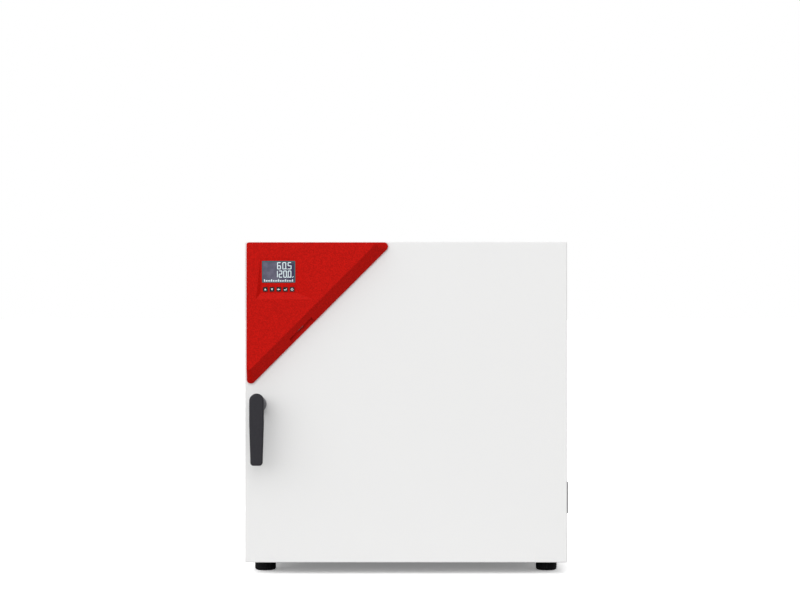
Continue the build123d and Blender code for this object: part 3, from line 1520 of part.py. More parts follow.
def along_bevel(y, shift, depth):
    """Sketch plane facing the front, its X along the long bevel and its Y outwards from it."""
    along = sqrt(0.5)
    origin_x = housing_x + pocket_reach + (shift + depth) * along
    origin_z = housing_z - pocket_reach + (shift - depth) * along
    return Plane(origin=(origin_x, y, origin_z), x_dir=(-along, 0, -along), z_dir=(0, -1, 0))


usb_plane = Plane(
    origin=(
        housing_x + pocket_reach + (pocket_shift - pocket_sink) * sqrt(0.5),
        door_y - usb_rise,
        housing_z - pocket_reach + (pocket_shift + pocket_sink) * sqrt(0.5),
    ),
    x_dir=(1, 0, 1),
    z_dir=(1, 0, -1),
)

# Display in the deck's window: frame, lens and module
display_width = 73.1
display_height = 47.8
display_drop = 30.7
display_border = 2.2
display_gap = 0.1
display_proud = 0.4
display_sink = 1.5
lens_gap = 0.05
window_corner = 1.5
module_width = 70.0
module_height = 45.0
module_gap = 0.3

# Five keys in a row below the display
key_size = 9.5
key_corner = 1.0
key_pitch = 14.7
key_drop = 69.3
key_proud = 1.2
key_travel = 0.8
key_flange = 12.0
key_flange_wall = 1.0
key_flange_gap = 0.1
key_plunger_radius = 2.0
key_rest_gap = 0.2
key_play = key_travel + key_rest_gap

# Control board on four standoffs
board_drop = 40.0
board_size = 84.0
board_setback = 10.6
tact_size = 6.0
tact_height = 3.0
standoff_radius = 2.5
standoff_x = 72.0
standoff_high = 3.0
standoff_low = 58.0
standoff_places = [
    (-standoff_x / 2, -standoff_high),
    (standoff_x / 2, -standoff_high),
    (-standoff_x / 2, -standoff_low),
    (standoff_x / 2, -standoff_low),
]
key_count = 5
key_places = [(key_pitch * (step - (key_count - 1) / 2), -key_drop) for step in range(key_count)]

# Ribs stiffen the two wings of the housing
rib_wall = 1.5
rib_height = 12.0
rib_x = 170.0
rib_z = 150.0

# Hollow of the housing, less the blocks of material round the deck and the pocket
with BuildPart() as housing_hollow:
    add(housing_form(housing_wall))
    add(recess_form(housing_wall), mode=Mode.SUBTRACT)
    with BuildSketch(along_bevel(door_y, pocket_shift, pocket_open / 2 - pocket_sink)):
        Rectangle(pocket_length + 2 * pocket_wall, pocket_open + 2 * pocket_wall)
    extrude(amount=housing_reach, mode=Mode.SUBTRACT)
with BuildPart() as housing_ribs:
    add(housing_hollow.part)
    with BuildSketch(facing(housing_face_y)):
        with Locations((left_x + rib_x, top_z - housing_leg / 2)):
            Rectangle(rib_wall, housing_leg)
        with Locations((left_x + housing_leg / 2, top_z - rib_z)):
            Rectangle(housing_leg, rib_wall)
    extrude(amount=-(housing_wall + rib_height), mode=Mode.INTERSECT)

# Control housing: bevelled triangular shell with its sunk deck, pocket, bosses and ribs
with BuildPart() as control_housing:
    add(housing_form(0))
    add(housing_hollow.part, mode=Mode.SUBTRACT)
    add(recess_form(0), mode=Mode.SUBTRACT)
    add(housing_ribs.part)
    with BuildSketch(facing(door_y)):
        with Locations(boss_places):
            Circle(boss_radius)
    extrude(amount=housing_reach - housing_wall / 2)
    with BuildSketch(facing(door_y)):
        with Locations(boss_places):
            Circle(housing_screw_radius + seat_gap)
    extrude(amount=boss_depth, mode=Mode.SUBTRACT)
    with BuildSketch(deck.offset(-board_setback)):
        with Locations(standoff_places):
            Circle(standoff_radius)
    extrude(amount=board_setback - housing_wall / 2)
    with BuildSketch(deck.offset(recess_lead)):
        with Locations((0, -display_drop)):
            RectangleRounded(display_width, display_height, window_corner)
        with Locations(key_places):
            RectangleRounded(key_size + 2 * key_gap, key_size + 2 * key_gap, key_corner + key_gap)
    extrude(amount=-(recess_lead + 2 * housing_wall), mode=Mode.SUBTRACT)
    with BuildSketch(along_bevel(door_y - pocket_floor, pocket_shift, pocket_open / 2 - pocket_sink)):
        Rectangle(pocket_length, pocket_open)
    extrude(amount=housing_reach, mode=Mode.SUBTRACT)
    for low, high in notch_ranges:
        with BuildSketch(along_bevel(door_y, (low + high) / 2, pocket_open / 2 - notch_sink)):
            Rectangle(high - low, pocket_open)
        extrude(amount=housing_land, mode=Mode.SUBTRACT)
    with BuildSketch(usb_plane):
        Rectangle(usb_width + 2 * seat_gap, usb_height + 2 * seat_gap)
    extrude(amount=-2 * pocket_wall, mode=Mode.SUBTRACT)
control_housing.part.label = "control_housing"
export_step(control_housing.part, "parts/control_housing.step")

# USB socket: plain metal shell with a tongue
with BuildPart() as usb_socket:
    with BuildSketch(usb_plane):
        Rectangle(usb_width, usb_height)
    extrude(amount=-usb_depth)
    with BuildSketch(usb_plane):
        Rectangle(usb_width + 2 * usb_flange, usb_height + 2 * usb_flange)
    extrude(amount=usb_flange_wall)
    with BuildSketch(usb_plane.offset(usb_flange_wall)):
        Rectangle(usb_cavity_width, usb_cavity_height)
    extrude(amount=-usb_cavity_depth, mode=Mode.SUBTRACT)
    with BuildSketch(usb_plane.offset(usb_flange_wall - usb_cavity_depth)):
        with Locations((0, usb_tongue_shift)):
            Rectangle(usb_cavity_width - 2 * usb_tongue_wall, usb_tongue_wall)
    extrude(amount=usb_tongue_length)
usb_socket.part.label = "usb_socket"
export_step(usb_socket.part, "parts/usb_socket.step")

# Screws of the control housing, put in from inside the door
with BuildPart() as housing_screws:
    with BuildSketch(facing(door_y + door_wall)):
        with Locations(boss_places):
            Circle(housing_head_radius)
    extrude(amount=-housing_head_height)
    with BuildSketch(facing(door_y + door_wall)):
        with Locations(boss_places):
            Circle(housing_screw_radius)
    extrude(amount=door_wall + boss_depth - boss_end_gap)
housing_screws.part.label = "housing_screws"
export_step(housing_screws.part, "parts/housing_screws.step")

lens_width = display_width - 2 * display_gap - 2 * display_border
lens_height = display_height - 2 * display_gap - 2 * display_border
with BuildPart() as display_bezel:
    with BuildSketch(deck.offset(-display_sink)):
        with Locations((0, -display_drop)):
            RectangleRounded(
                display_width - 2 * display_gap,
                display_height - 2 * display_gap,
                window_corner - display_gap,
            )
            Rectangle(lens_width, lens_height, mode=Mode.SUBTRACT)
    extrude(amount=display_sink + display_proud)
display_bezel.part.label = "display_bezel"
export_step(display_bezel.part, "parts/display_bezel.step")

with BuildPart() as display_lens:
    with BuildSketch(deck.offset(-display_sink)):
        with Locations((0, -display_drop)):
            Rectangle(lens_width - 2 * lens_gap, lens_height - 2 * lens_gap)
    extrude(amount=display_sink)
display_lens.part.label = "display_lens"
export_step(display_lens.part, "parts/display_lens.step")

with BuildPart() as display_module:
    with BuildSketch(deck.offset(-board_setback)):
        with Locations((0, -display_drop)):
            Rectangle(module_width, module_height)
    extrude(amount=board_setback - display_sink - module_gap)
display_module.part.label = "display_module"
export_step(display_module.part, "parts/display_module.step")

with BuildPart() as control_board:
    with BuildSketch(deck.offset(-board_setback)):
        with Locations((0, -board_drop)):
            Rectangle(board_size, board_size)
    extrude(amount=-board_wall)
    with BuildSketch(deck.offset(-board_setback)):
        with Locations(key_places):
            Rectangle(tact_size, tact_size)
    extrude(amount=tact_height)
control_board.part.label = "control_board"
export_step(control_board.part, "parts/control_board.step")


def key_form(place):
    """Key cap with the flange that holds it in and the plunger that meets its switch."""
    with BuildPart() as key:
        with BuildSketch(deck.offset(key_proud)):
            with Locations(place):
                RectangleRounded(key_size, key_size, key_corner)
        extrude(amount=-(key_proud + housing_wall + key_flange_gap))
        with BuildSketch(deck.offset(-(housing_wall + key_flange_gap))):
            with Locations(place):
                Rectangle(key_flange, key_flange)
        extrude(amount=-key_flange_wall)
        with BuildSketch(deck.offset(-(board_setback - tact_height - key_play))):
            with Locations(place):
                Circle(key_plunger_radius)
        extrude(amount=board_setback - tact_height - key_play - housing_wall)
    return key.part


with BuildPart() as button_up:
    add(key_form(key_places[0]))
button_up.part.label = "button_up"
export_step(button_up.part, "parts/button_up.step")

with BuildPart() as button_down:
    add(key_form(key_places[1]))
button_down.part.label = "button_down"
export_step(button_down.part, "parts/button_down.step")

with BuildPart() as button_back:
    add(key_form(key_places[2]))
button_back.part.label = "button_back"
export_step(button_back.part, "parts/button_back.step")

with BuildPart() as button_enter:
    add(key_form(key_places[3]))
button_enter.part.label = "button_enter"
export_step(button_enter.part, "parts/button_enter.step")

with BuildPart() as button_standby:
    add(key_form(key_places[4]))
button_standby.part.label = "button_standby"
export_step(button_standby.part, "parts/button_standby.step")

# Handle: rosette and sleeve stay on the door, lever, spindle and cam turn
sleeve_reach = 1.0
lever_gap = 0.3
lever_thickness = 20.0
lever_top = 25.3
lever_bottom = 131.7
lever_half_width = 15.75
lever_end_half_width = 12.95
lever_knee = 42.0
lever_top_corner = 15.6
lever_knee_radius = 200.0
lever_bottom_corner = 6.5
lever_chamfer = 3.0
lever_rounding = 5.0
lever_hub_radius = 14.0
lever_grip_depth = 10.0
cam_hub_radius = 9.0
cam_nut_radius = 9.0
cam_nut_height = 5.0
cam_shaft_end = 2.0
grip_front_y = door_y - grip_reach
grip_back_y = grip_front_y + lever_thickness
rosette_front_y = door_y - rosette_height
lever_hub_y = rosette_front_y - lever_gap
cam_y = frame_y + cam_entry
cam_nut_y = cam_y + cam_thickness
with BuildPart() as handle_rosette:
    with BuildSketch(facing(door_y)):
        with Locations((spindle_x, spindle_z)):
            Circle(rosette_radius)
    extrude(amount=rosette_height)
    fillet(handle_rosette.edges().group_by(Axis.Y)[0], rosette_rounding)
    with BuildSketch(facing(door_y)):
        with Locations((spindle_x, spindle_z)):
            Circle(sleeve_radius)
    extrude(amount=-(door_thickness + sleeve_reach))
    with BuildSketch(facing(rosette_front_y)):
        with Locations((spindle_x, spindle_z)):
            Circle(spindle_radius + bearing_gap)
    extrude(amount=-(rosette_height + door_thickness + sleeve_reach), mode=Mode.SUBTRACT)
handle_rosette.part.label = "handle_rosette"
export_step(handle_rosette.part, "parts/handle_rosette.step")

with BuildPart() as handle_lever:
    with BuildSketch(facing(grip_back_y)) as lever_outline:
        with BuildLine():
            Polyline(
                (spindle_x - lever_half_width, spindle_z + lever_top),
                (spindle_x + lever_half_width, spindle_z + lever_top),
                (spindle_x + lever_half_width, spindle_z - lever_knee),
                (spindle_x + lever_end_half_width, spindle_z - lever_bottom),
                (spindle_x - lever_end_half_width, spindle_z - lever_bottom),
                (spindle_x - lever_half_width, spindle_z - lever_knee),
                close=True,
            )
        make_face()
        lever_corners = lever_outline.vertices().group_by(Axis.Y)
        fillet(lever_corners[0], lever_bottom_corner)
        lever_corners = lever_outline.vertices().group_by(Axis.Y)
        fillet(lever_corners[-1], lever_top_corner)
        lever_knees = lever_outline.vertices().filter_by_position(
            Axis.Y,
            spindle_z - lever_knee - seat_gap,
            spindle_z - lever_knee + seat_gap,
        )
        fillet(lever_knees, lever_knee_radius)
    extrude(amount=lever_thickness)
    chamfer(handle_lever.edges().group_by(Axis.Y)[0], lever_chamfer)
    fillet(handle_lever.edges().group_by(Axis.Y)[-1], lever_rounding)
    with BuildSketch(facing(lever_hub_y)):
        with Locations((spindle_x, spindle_z)):
            Circle(lever_hub_radius)
    extrude(amount=lever_hub_y - grip_back_y)
    with BuildSketch(facing(lever_hub_y)):
        with Locations((spindle_x, spindle_z)):
            Circle(spindle_radius + seat_gap)
    extrude(amount=lever_hub_y - grip_back_y + lever_grip_depth, mode=Mode.SUBTRACT)
handle_lever.part.label = "handle_lever"
export_step(handle_lever.part, "parts/handle_lever.step")

with BuildPart() as handle_spindle:
    with BuildSketch(facing(grip_back_y - lever_grip_depth)):
        with Locations((spindle_x, spindle_z)):
            Circle(spindle_radius)
    extrude(amount=-(cam_nut_y + cam_nut_height + cam_shaft_end - grip_back_y + lever_grip_depth))
handle_spindle.part.label = "handle_spindle"
export_step(handle_spindle.part, "parts/handle_spindle.step")

with BuildPart() as latch_cam:
    with BuildSketch(facing(cam_y)):
        with Locations((spindle_x, spindle_z)):
            Circle(cam_hub_radius)
        with Locations((spindle_x + cam_length - cam_half_width, spindle_z)):
            Circle(cam_half_width)
        make_hull()
        with Locations((spindle_x, spindle_z)):
            Circle(spindle_radius + seat_gap, mode=Mode.SUBTRACT)
    extrude(amount=-cam_thickness)
latch_cam.part.label = "latch_cam"
export_step(latch_cam.part, "parts/latch_cam.step")

with BuildPart() as cam_nut:
    with BuildSketch(facing(cam_nut_y)):
        with Locations((spindle_x, spindle_z)):
            RegularPolygon(cam_nut_radius, 6)
            Circle(spindle_radius + seat_gap, mode=Mode.SUBTRACT)
    extrude(amount=-cam_nut_height)
cam_nut.part.label = "cam_nut"
export_step(cam_nut.part, "parts/cam_nut.step")
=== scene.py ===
# %% [markdown]
# # A laboratory drying oven
#
# The packed model gives every rigid piece of the oven at its true size, in metres, with the door
# towards -Y. This lesson dresses it. Each piece gets the finish of the real one, and the prints and
# contacts that are too thin for the solids, such as the digits on the display, are modelled here.

# %% Load the packed model
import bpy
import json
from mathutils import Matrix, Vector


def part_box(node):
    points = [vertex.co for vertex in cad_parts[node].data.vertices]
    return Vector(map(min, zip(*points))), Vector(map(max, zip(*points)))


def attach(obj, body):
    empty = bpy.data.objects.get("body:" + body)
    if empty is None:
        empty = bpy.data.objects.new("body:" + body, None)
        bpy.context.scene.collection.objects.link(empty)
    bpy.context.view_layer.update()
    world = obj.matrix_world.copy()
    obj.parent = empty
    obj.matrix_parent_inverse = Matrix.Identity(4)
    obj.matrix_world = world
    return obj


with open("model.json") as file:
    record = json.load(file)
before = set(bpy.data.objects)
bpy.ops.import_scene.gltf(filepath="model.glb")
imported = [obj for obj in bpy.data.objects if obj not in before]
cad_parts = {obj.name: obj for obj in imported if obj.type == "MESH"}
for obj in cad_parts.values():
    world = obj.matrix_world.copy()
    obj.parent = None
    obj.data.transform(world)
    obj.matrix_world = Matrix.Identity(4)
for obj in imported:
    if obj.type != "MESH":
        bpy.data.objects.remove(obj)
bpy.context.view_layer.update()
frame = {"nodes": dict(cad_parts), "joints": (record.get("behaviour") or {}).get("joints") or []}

# %% [markdown]
# ## Tools
#
# The bmesh module builds meshes with the same operators that edit mode has, and a matrix puts a
# finished shape in its place in one step. Lengths are written in millimetres, as on a drawing, and
# one factor turns them to Blender's metres. A place that is read from the packed model is rounded
# to a hundredth of a millimetre, because its last digits are only noise.

# %% Tools
import json
import math
import bmesh
import bpy
from mathutils import Matrix, Vector

MM = 0.001
nodes = frame["nodes"]
joints = {joint["name"]: joint for joint in frame["joints"]}


def in_mm(metres):
    """A place read from the model, in millimetres."""
    return round(metres / MM, 2)


print("joints:", ", ".join(joints))

# %% [markdown]
# ## Colours
#
# A colour is easiest to judge as the hex code that a paint program shows, which is sRGB. A shader
# works in linear light, and the same numbers typed in as they are would look washed out. One
# function turns a code to linear, and every colour of this lesson goes through it.

# %% Hex code to linear colour
def linear(code):
    """Linear RGBA of an sRGB hex code, by the two branches of the sRGB curve."""
    values = [int(code[i:i + 2], 16) / 255 for i in (1, 3, 5)]
    return tuple(v / 12.92 if v <= 0.04045 else ((v + 0.055) / 1.055) ** 2.4 for v in values) + (1.0,)


print("white as linear light:", [round(v, 3) for v in linear("#f2f2f1")[:3]])

# %% [markdown]
# ## Nodes
#
# A material is a small network of nodes, which could be clicked together in the shader editor. In
# a script one function adds any node with its settings, the values of its sockets and the links
# that feed it, so that a network reads from top to bottom.

# %% Adding a node
def add_node(tree, kind, values=None, links=None, **settings):
    """A new node with its settings, its sockets' values and the links that feed it."""
    made = tree.nodes.new(kind)
    for name, value in settings.items():
        setattr(made, name, value)
    for name, value in (values or {}).items():
        made.inputs[name].default_value = value
    for name, source in (links or {}).items():
        tree.links.new(source, made.inputs[name])
    return made


print("add_node:", add_node.__doc__)

# %% [markdown]
# ## Starting a material
#
# Every finish here is one principled shader. Colour, roughness and metallic say most of what a
# surface is, and what is the same all over a piece is set on the shader's own sockets. The metals
# keep the index of refraction that the shader starts with, and most plastics get a lower specular
# level, because a fine grain scatters their shine.

# %% Starting a material
def new_material(name, code, roughness, metallic=0.0, **sockets):
    """A material with one shader: its tree and the shader come back with it."""
    material = bpy.data.materials.new(name)
    material.use_nodes = True
    tree = material.node_tree
    tree.nodes.clear()
    values = {"Base Color": linear(code), "Roughness": roughness, "Metallic": metallic}
    values.update({key.replace("_", " "): value for key, value in sockets.items()})
    shader = add_node(tree, "ShaderNodeBsdfPrincipled", values)
    add_node(tree, "ShaderNodeOutputMaterial", links={"Surface": shader.outputs["BSDF"]})
    material.diffuse_color = linear(code)
    return material, tree, shader


print("new_material:", new_material.__doc__)

# %% [markdown]
# ## A grain of the real size
#
# Powder paint, moulded plastic, cast metal and rubber all have a fine grain. An image could show
# it, but noise needs no unwrapping and never repeats. Its cells are as wide as the grain in
# millimetres. It tints the colour between two tones and lifts the surface a few hundredths of a
# millimetre. A stretch draws the cells out into brush marks or fibres: a factor below one along an
# axis makes them longer that way.

# %% Grain
CLOUDINESS = 0.55
RELIEF = 0.6


def grain(material_parts, low, high, width, depth, stretch=(1, 1, 1), detail=3.0, contrast=(0.35, 0.65)):
    """Tint between two colours and relief from one noise: width and depth in millimetres."""
    tree, shader = material_parts[1:]
    place = add_node(tree, "ShaderNodeTexCoord")
    scale = add_node(tree, "ShaderNodeMapping", {"Scale": stretch}, {"Vector": place.outputs["Object"]})
    noise = add_node(
        tree,
        "ShaderNodeTexNoise",
        {"Scale": 1 / (width * MM), "Detail": detail, "Roughness": CLOUDINESS},
        {"Vector": scale.outputs["Vector"]},
    )
    tint = add_node(tree, "ShaderNodeValToRGB", links={"Fac": noise.outputs["Fac"]})
    for stop, code, position in zip(tint.color_ramp.elements, (low, high), contrast):
        stop.position = position
        stop.color = linear(code)
    relief = add_node(
        tree,
        "ShaderNodeBump",
        {"Strength": RELIEF, "Distance": depth * MM},
        {"Height": noise.outputs["Fac"]},
    )
    tree.links.new(tint.outputs["Color"], shader.inputs["Base Color"])
    tree.links.new(relief.outputs["Normal"], shader.inputs["Normal"])


print("grain:", grain.__doc__)

# %% [markdown]
# ## Sheen that hands and cleaning leave
#
# A panel that is touched and wiped has no even sheen. A slow noise, some centimetres wide, moves
# the roughness between two close values, and the reflections lose their computed evenness. The
# middle part of the noise is spread over the whole range, because noise seldom reaches its ends.

# %% Uneven sheen
NOISE_MIDDLE = (0.3, 0.7)


def vary_roughness(material_parts, low, high, width):
    """Slow change of roughness between two values: width in millimetres."""
    tree, shader = material_parts[1:]
    place = add_node(tree, "ShaderNodeTexCoord")
    noise = add_node(
        tree,
        "ShaderNodeTexNoise",
        {"Scale": 1 / (width * MM), "Detail": 2.0},
        {"Vector": place.outputs["Object"]},
    )
    spread = add_node(
        tree,
        "ShaderNodeMapRange",
        {"From Min": NOISE_MIDDLE[0], "From Max": NOISE_MIDDLE[1], "To Min": low, "To Max": high},
        {"Value": noise.outputs["Fac"]},
    )
    tree.links.new(spread.outputs["Result"], shader.inputs["Roughness"])


print("vary_roughness:", vary_roughness.__doc__)

# %% [markdown]
# ## A second colour in one place
#
# Two pieces below are one solid with two tones: a metal shell with a black lining, and a display
# that is bluer at one end. A mix node between the grain and the shader lays the second colour over
# the first wherever its factor is one.

# %% Second colour
def lay_over(material_parts, code, factor):
    """Mixes a second colour over the one that now feeds the shader."""
    tree, shader = material_parts[1:]
    first = shader.inputs["Base Color"].links[0].from_socket
    mixed = add_node(
        tree,
        "ShaderNodeMix",
        {"B": linear(code)},
        {"Factor": factor, "A": first},
        data_type="RGBA",
    )
    tree.links.new(mixed.outputs["Result"], shader.inputs["Base Color"])


def place_along(material_parts, axis):
    """Socket with the place on the oven along X, Y or Z, in metres."""
    tree = material_parts[1]
    place = add_node(tree, "ShaderNodeTexCoord")
    parts = add_node(tree, "ShaderNodeSeparateXYZ", links={"Vector": place.outputs["Object"]})
    return parts.outputs[axis]


print("lay_over:", lay_over.__doc__)

# %% [markdown]
# ## Coating the pieces
#
# A finish belongs to many pieces, such as all the screws. One function takes a material and the
# names of the pieces, and gives it to each.

# %% Coating the pieces
def coat(material_parts, *names):
    """Gives the material to these pieces of the packed model."""
    for name in names:
        piece = nodes[name]
        piece.data.materials.clear()
        piece.data.materials.append(material_parts[0])
    print(material_parts[0].name, "->", ", ".join(names))


print("coat:", coat.__doc__)

# %% [markdown]
# ## White powder coat
#
# The shell, the rear cover and the door's outer panel are steel sheet with a baked polyester
# powder. The powder melts to a soft satin white with a very fine orange peel, about a millimetre
# wide. One flat colour would look like paper, so the peel is noise of that width. It barely shows
# as colour and only breaks up the sheen.

# %% Powder coat on the sheet metal
powder_coat = new_material("polyester_powder_coat", "#eeeeee", 0.42, Specular_IOR_Level=0.3)
grain(powder_coat, "#ededed", "#f0f0ef", 1.1, 0.02)
vary_roughness(powder_coat, 0.38, 0.48, 60)
coat(powder_coat, "outer_shell", "rear_cover", "door_outer_panel")

# %% [markdown]
# ## Red moulded housing
#
# The control housing is ABS, injection moulded against an etched tool. The etching leaves a
# leather-like grain that catches light as tiny specks, so the red is deep and slightly mottled up
# close, with hardly any gloss. The real grain is under a millimetre wide. It is drawn at 2.2 mm,
# because a finer one wouldn't show in the picture.

# %% Etched red ABS
red_abs = new_material("etched_red_abs", "#be0e05", 0.5, Specular_IOR_Level=0.07)
grain(red_abs, "#a90801", "#d11208", 2.2, 0.12, contrast=(0.32, 0.68))
coat(red_abs, "control_housing")

# %% [markdown]
# ## Stainless sheet
#
# Chamber, baffle, front frame and the door's inner panel are rolled and brushed stainless sheet.
# Brushing leaves fine streaks in one direction, which draw every reflection out into a soft band.
# The noise is drawn out level, 25 times as long as it is wide. The real streaks are a tenth of a
# millimetre wide, and they are drawn ten times as coarse so that they show.

# %% Brushed stainless sheet
brushed_stainless = new_material("brushed_stainless_steel", "#c6c5c1", 0.32, 1.0)
grain(brushed_stainless, "#b7b6b2", "#d0cfcb", 1.0, 0.01, stretch=(0.04, 0.04, 1.0))
vary_roughness(brushed_stainless, 0.27, 0.37, 90)
coat(brushed_stainless, "front_frame", "chamber_liner", "air_baffle", "door_inner_panel")

# %% [markdown]
# ## Stainless wire and tube
#
# Racks and rails are electropolished. The bath takes off the drawing marks and leaves a bright
# surface with soft spots, a few millimetres wide, like water. Duct, shaft and probes are drawn
# through a die instead, which leaves dull streaks along the tube. They run along Y, as the tubes
# do, and are again drawn about ten times as coarse as real ones. The flap and the fan's wheel get
# the same dull steel.

# %% Electropolished wire
polished_wire = new_material("electropolished_stainless_wire", "#cfcecb", 0.2, 1.0)
grain(polished_wire, "#c2c1be", "#d8d7d4", 2.5, 0.01)
coat(polished_wire, "rack_lower", "rack_upper", "rack_rail_left", "rack_rail_right")

# %% Drawn tube
drawn_stainless = new_material("drawn_stainless_tube", "#bdbcb8", 0.3, 1.0)
grain(drawn_stainless, "#adaca8", "#c8c7c3", 1.2, 0.01, stretch=(1.0, 0.05, 1.0))
coat(drawn_stainless, "exhaust_duct", "exhaust_flap", "fan_wheel", "fan_shaft", "temperature_probes")

# %% [markdown]
# ## Heater tube
#
# A tubular heater is a stainless sheath round a glowing wire. Heat leaves oxide colours on it, from
# straw to brown, in patches about a centimetre wide. So its steel is darker, warmer and duller than
# the chamber's, and two tones of one noise are enough to say so.

# %% Heat-tinted sheath
heater_sheath = new_material("heat_tinted_sheath", "#6f655b", 0.42, 1.0)
grain(heater_sheath, "#5b5149", "#857562", 9.0, 0.02)
coat(heater_sheath, "ring_heater")

# %% [markdown]
# ## Zinc-plated steel
#
# Hinges, screws, latch and base plate are mild steel with a thin zinc plating. Zinc is greyer and
# bluer than stainless, and its crystals show as soft cloudy patches a few millimetres wide.

# %% Zinc plating
zinc_plate = new_material("zinc_plated_steel", "#b4b7bb", 0.34, 1.0)
grain(zinc_plate, "#a3a7ac", "#c0c3c7", 4.0, 0.01)
coat(
    zinc_plate,
    "base_plate", "cover_screws", "foot_screws", "latch_keeper", "hinge_arms", "hinge_pins",
    "hinge_screws", "hinge_blocks", "housing_screws", "handle_spindle", "latch_cam", "cam_nut",
)

# %% [markdown]
# ## Nickel-plated sockets
#
# A network socket has a shell of thin sheet with bright nickel, warmer than zinc and glossier, and
# a black insert in its mouth. Shell and insert are one solid here, so whatever lies deeper than the
# lip is laid over in black. The memory stick's socket sits in the housing's shadow, and that shadow
# is painted into its nickel as a much darker colour; its sheen is also duller.

# %% Bright shell with its black insert
SOCKET_LIP = 0.45
INSERT_BLACK = "#161617"
socket_face = in_mm(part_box("network_socket")[1].x)

nickel_plate = new_material("nickel_plated_shell", "#c9c7c1", 0.22, 1.0)
grain(nickel_plate, "#bfbdb7", "#d2d0ca", 3.0, 0.005)
inside = add_node(
    nickel_plate[1],
    "ShaderNodeMath",
    {1: (socket_face - SOCKET_LIP) * MM},
    {0: place_along(nickel_plate, "X")},
    operation="LESS_THAN",
)
lay_over(nickel_plate, INSERT_BLACK, inside.outputs["Value"])
coat(nickel_plate, "network_socket")

# %% Shell darkened with painted shade
# Painted shade: this socket's nickel is coloured much darker than the other shell, for the housing's
# shadow on it.
shade_darkened_nickel = new_material("nickel_shell_painted_shade", "#6f6e6b", 0.5, 1.0)
grain(shade_darkened_nickel, "#676663", "#787774", 2.0, 0.005)
coat(shade_darkened_nickel, "usb_socket")

# %% [markdown]
# ## Brass and aluminium
#
# The hinges run in turned brass bushes, and the mains inlet's contacts are brass too. Both read as
# a warm silky shine. Noise that is drawn out along the bushes is enough on pieces this small. The
# fan's motor has a die-cast aluminium case, which is pale, rough and slightly pitted from the
# mould, with no direction in its sheen.

# %% Turned brass
turned_brass = new_material("turned_brass", "#c19a4b", 0.3, 1.0)
grain(turned_brass, "#b28b3f", "#cda658", 0.8, 0.01, stretch=(1.0, 1.0, 0.1))
coat(turned_brass, "inlet_contacts", "hinge_bushes")

# %% Die-cast aluminium
cast_aluminium = new_material("die_cast_aluminium", "#b9babb", 0.5, 1.0)
grain(cast_aluminium, "#a9aaab", "#c6c7c8", 1.5, 0.08)
coat(cast_aluminium, "fan_motor")

# %% [markdown]
# ## Handle, rosette and side bezel
#
# The lever is polyamide with glass fibre, black-grey with a breath of violet, and its etched grain
# gives broad soft highlights instead of sharp ones. The rosette behind it is given a mid grey,
# much lighter than the lever, and the side bezel is moulded ABS in a darker grey. The small side cap
# is ABS in pale grey, smoother and with a little more shine. Moulded grain is 0.3 to 0.5 mm wide.
# All the plastics below draw it at 1 mm or a little more so that it shows.

# %% Lever
handle_nylon = new_material("glass_filled_nylon", "#2a292e", 0.5, Specular_IOR_Level=0.2)
grain(handle_nylon, "#26252a", "#2e2d32", 1.3, 0.06)
coat(handle_nylon, "handle_lever")

# %% Rosette, side bezel and cap
rosette_abs = new_material("grey_rosette_abs", "#77777b", 0.48, Specular_IOR_Level=0.2)
grain(rosette_abs, "#727276", "#7c7c80", 1.2, 0.04)
coat(rosette_abs, "handle_rosette")

bezel_abs = new_material("grey_bezel_abs", "#515153", 0.5, Specular_IOR_Level=0.2)
grain(bezel_abs, "#4d4d4f", "#565658", 1.3, 0.05)
coat(bezel_abs, "side_bezel")

pale_abs = new_material("pale_grey_abs", "#dddddd", 0.4)
grain(pale_abs, "#d9d9d9", "#e1e1e1", 1.0, 0.02)
coat(pale_abs, "side_cap")

# %% [markdown]
# ## Black mouldings
#
# Switch, thermostat, mains inlet and flap motor are black ABS. Black plastic is never quite black:
# its grain catches enough light to lift it to a very dark grey, still darker than the lever.

# %% Black ABS
black_abs = new_material("black_abs", "#19191b", 0.45, Specular_IOR_Level=0.25)
grain(black_abs, "#161618", "#1d1d20", 1.2, 0.04)
coat(
    black_abs,
    "power_switch", "switch_rocker", "thermostat_body", "thermostat_knob", "mains_inlet", "flap_motor",
)

# %% [markdown]
# ## Rubber feet and silicone gasket
#
# The feet are moulded black rubber, which has hardly any sheen and is scuffed where it meets the
# bench, so its roughness changes within a centimetre. The gasket is red-brown silicone, smooth and
# a little waxy, because it has to seal against the frame.

# %% Rubber feet
foot_rubber = new_material("moulded_rubber", "#0f0f11", 0.62, Specular_IOR_Level=0.12)
grain(foot_rubber, "#0d0d0f", "#131316", 1.5, 0.06)
vary_roughness(foot_rubber, 0.55, 0.72, 12)
coat(foot_rubber, "foot_pads")

# %% Silicone gasket
silicone = new_material("silicone_rubber", "#7d3a2e", 0.4)
grain(silicone, "#77362b", "#844034", 3.0, 0.02)
coat(silicone, "door_gasket")

# %% [markdown]
# ## Mineral wool
#
# The wool shows only when a panel is off. It is a felt of thin glassy fibres, yellow-brown from its
# binder and without any shine. Thousands of strands could show it, but they are far too heavy for a
# hidden piece, so a noise is drawn out level across the mat and given a deep relief.

# %% Mineral wool
mineral_wool = new_material("mineral_wool", "#b49c62", 0.95)
grain(mineral_wool, "#94804c", "#c9b27a", 3.0, 1.2, stretch=(0.3, 0.3, 1.0), detail=6.0)
coat(mineral_wool, "cabinet_insulation", "door_insulation")

# %% [markdown]
# ## Boards and display module
#
# A circuit board is glass-fibre laminate under a green solder mask, which is glossy and lets the
# weave show as slight changes of tone. The display's module has a folded frame of tin-plated sheet,
# paler and softer than zinc. None of them shows from outside.

# %% Circuit boards
board_laminate = new_material("solder_masked_laminate", "#14512f", 0.35)
grain(board_laminate, "#114a2a", "#195b37", 2.0, 0.02)
coat(board_laminate, "power_board", "control_board")

# %% Display module
module_frame = new_material("tin_plated_module_frame", "#9b9da0", 0.4, 1.0)
grain(module_frame, "#8d8f92", "#a7a9ac", 3.0, 0.01)
coat(module_frame, "display_module")

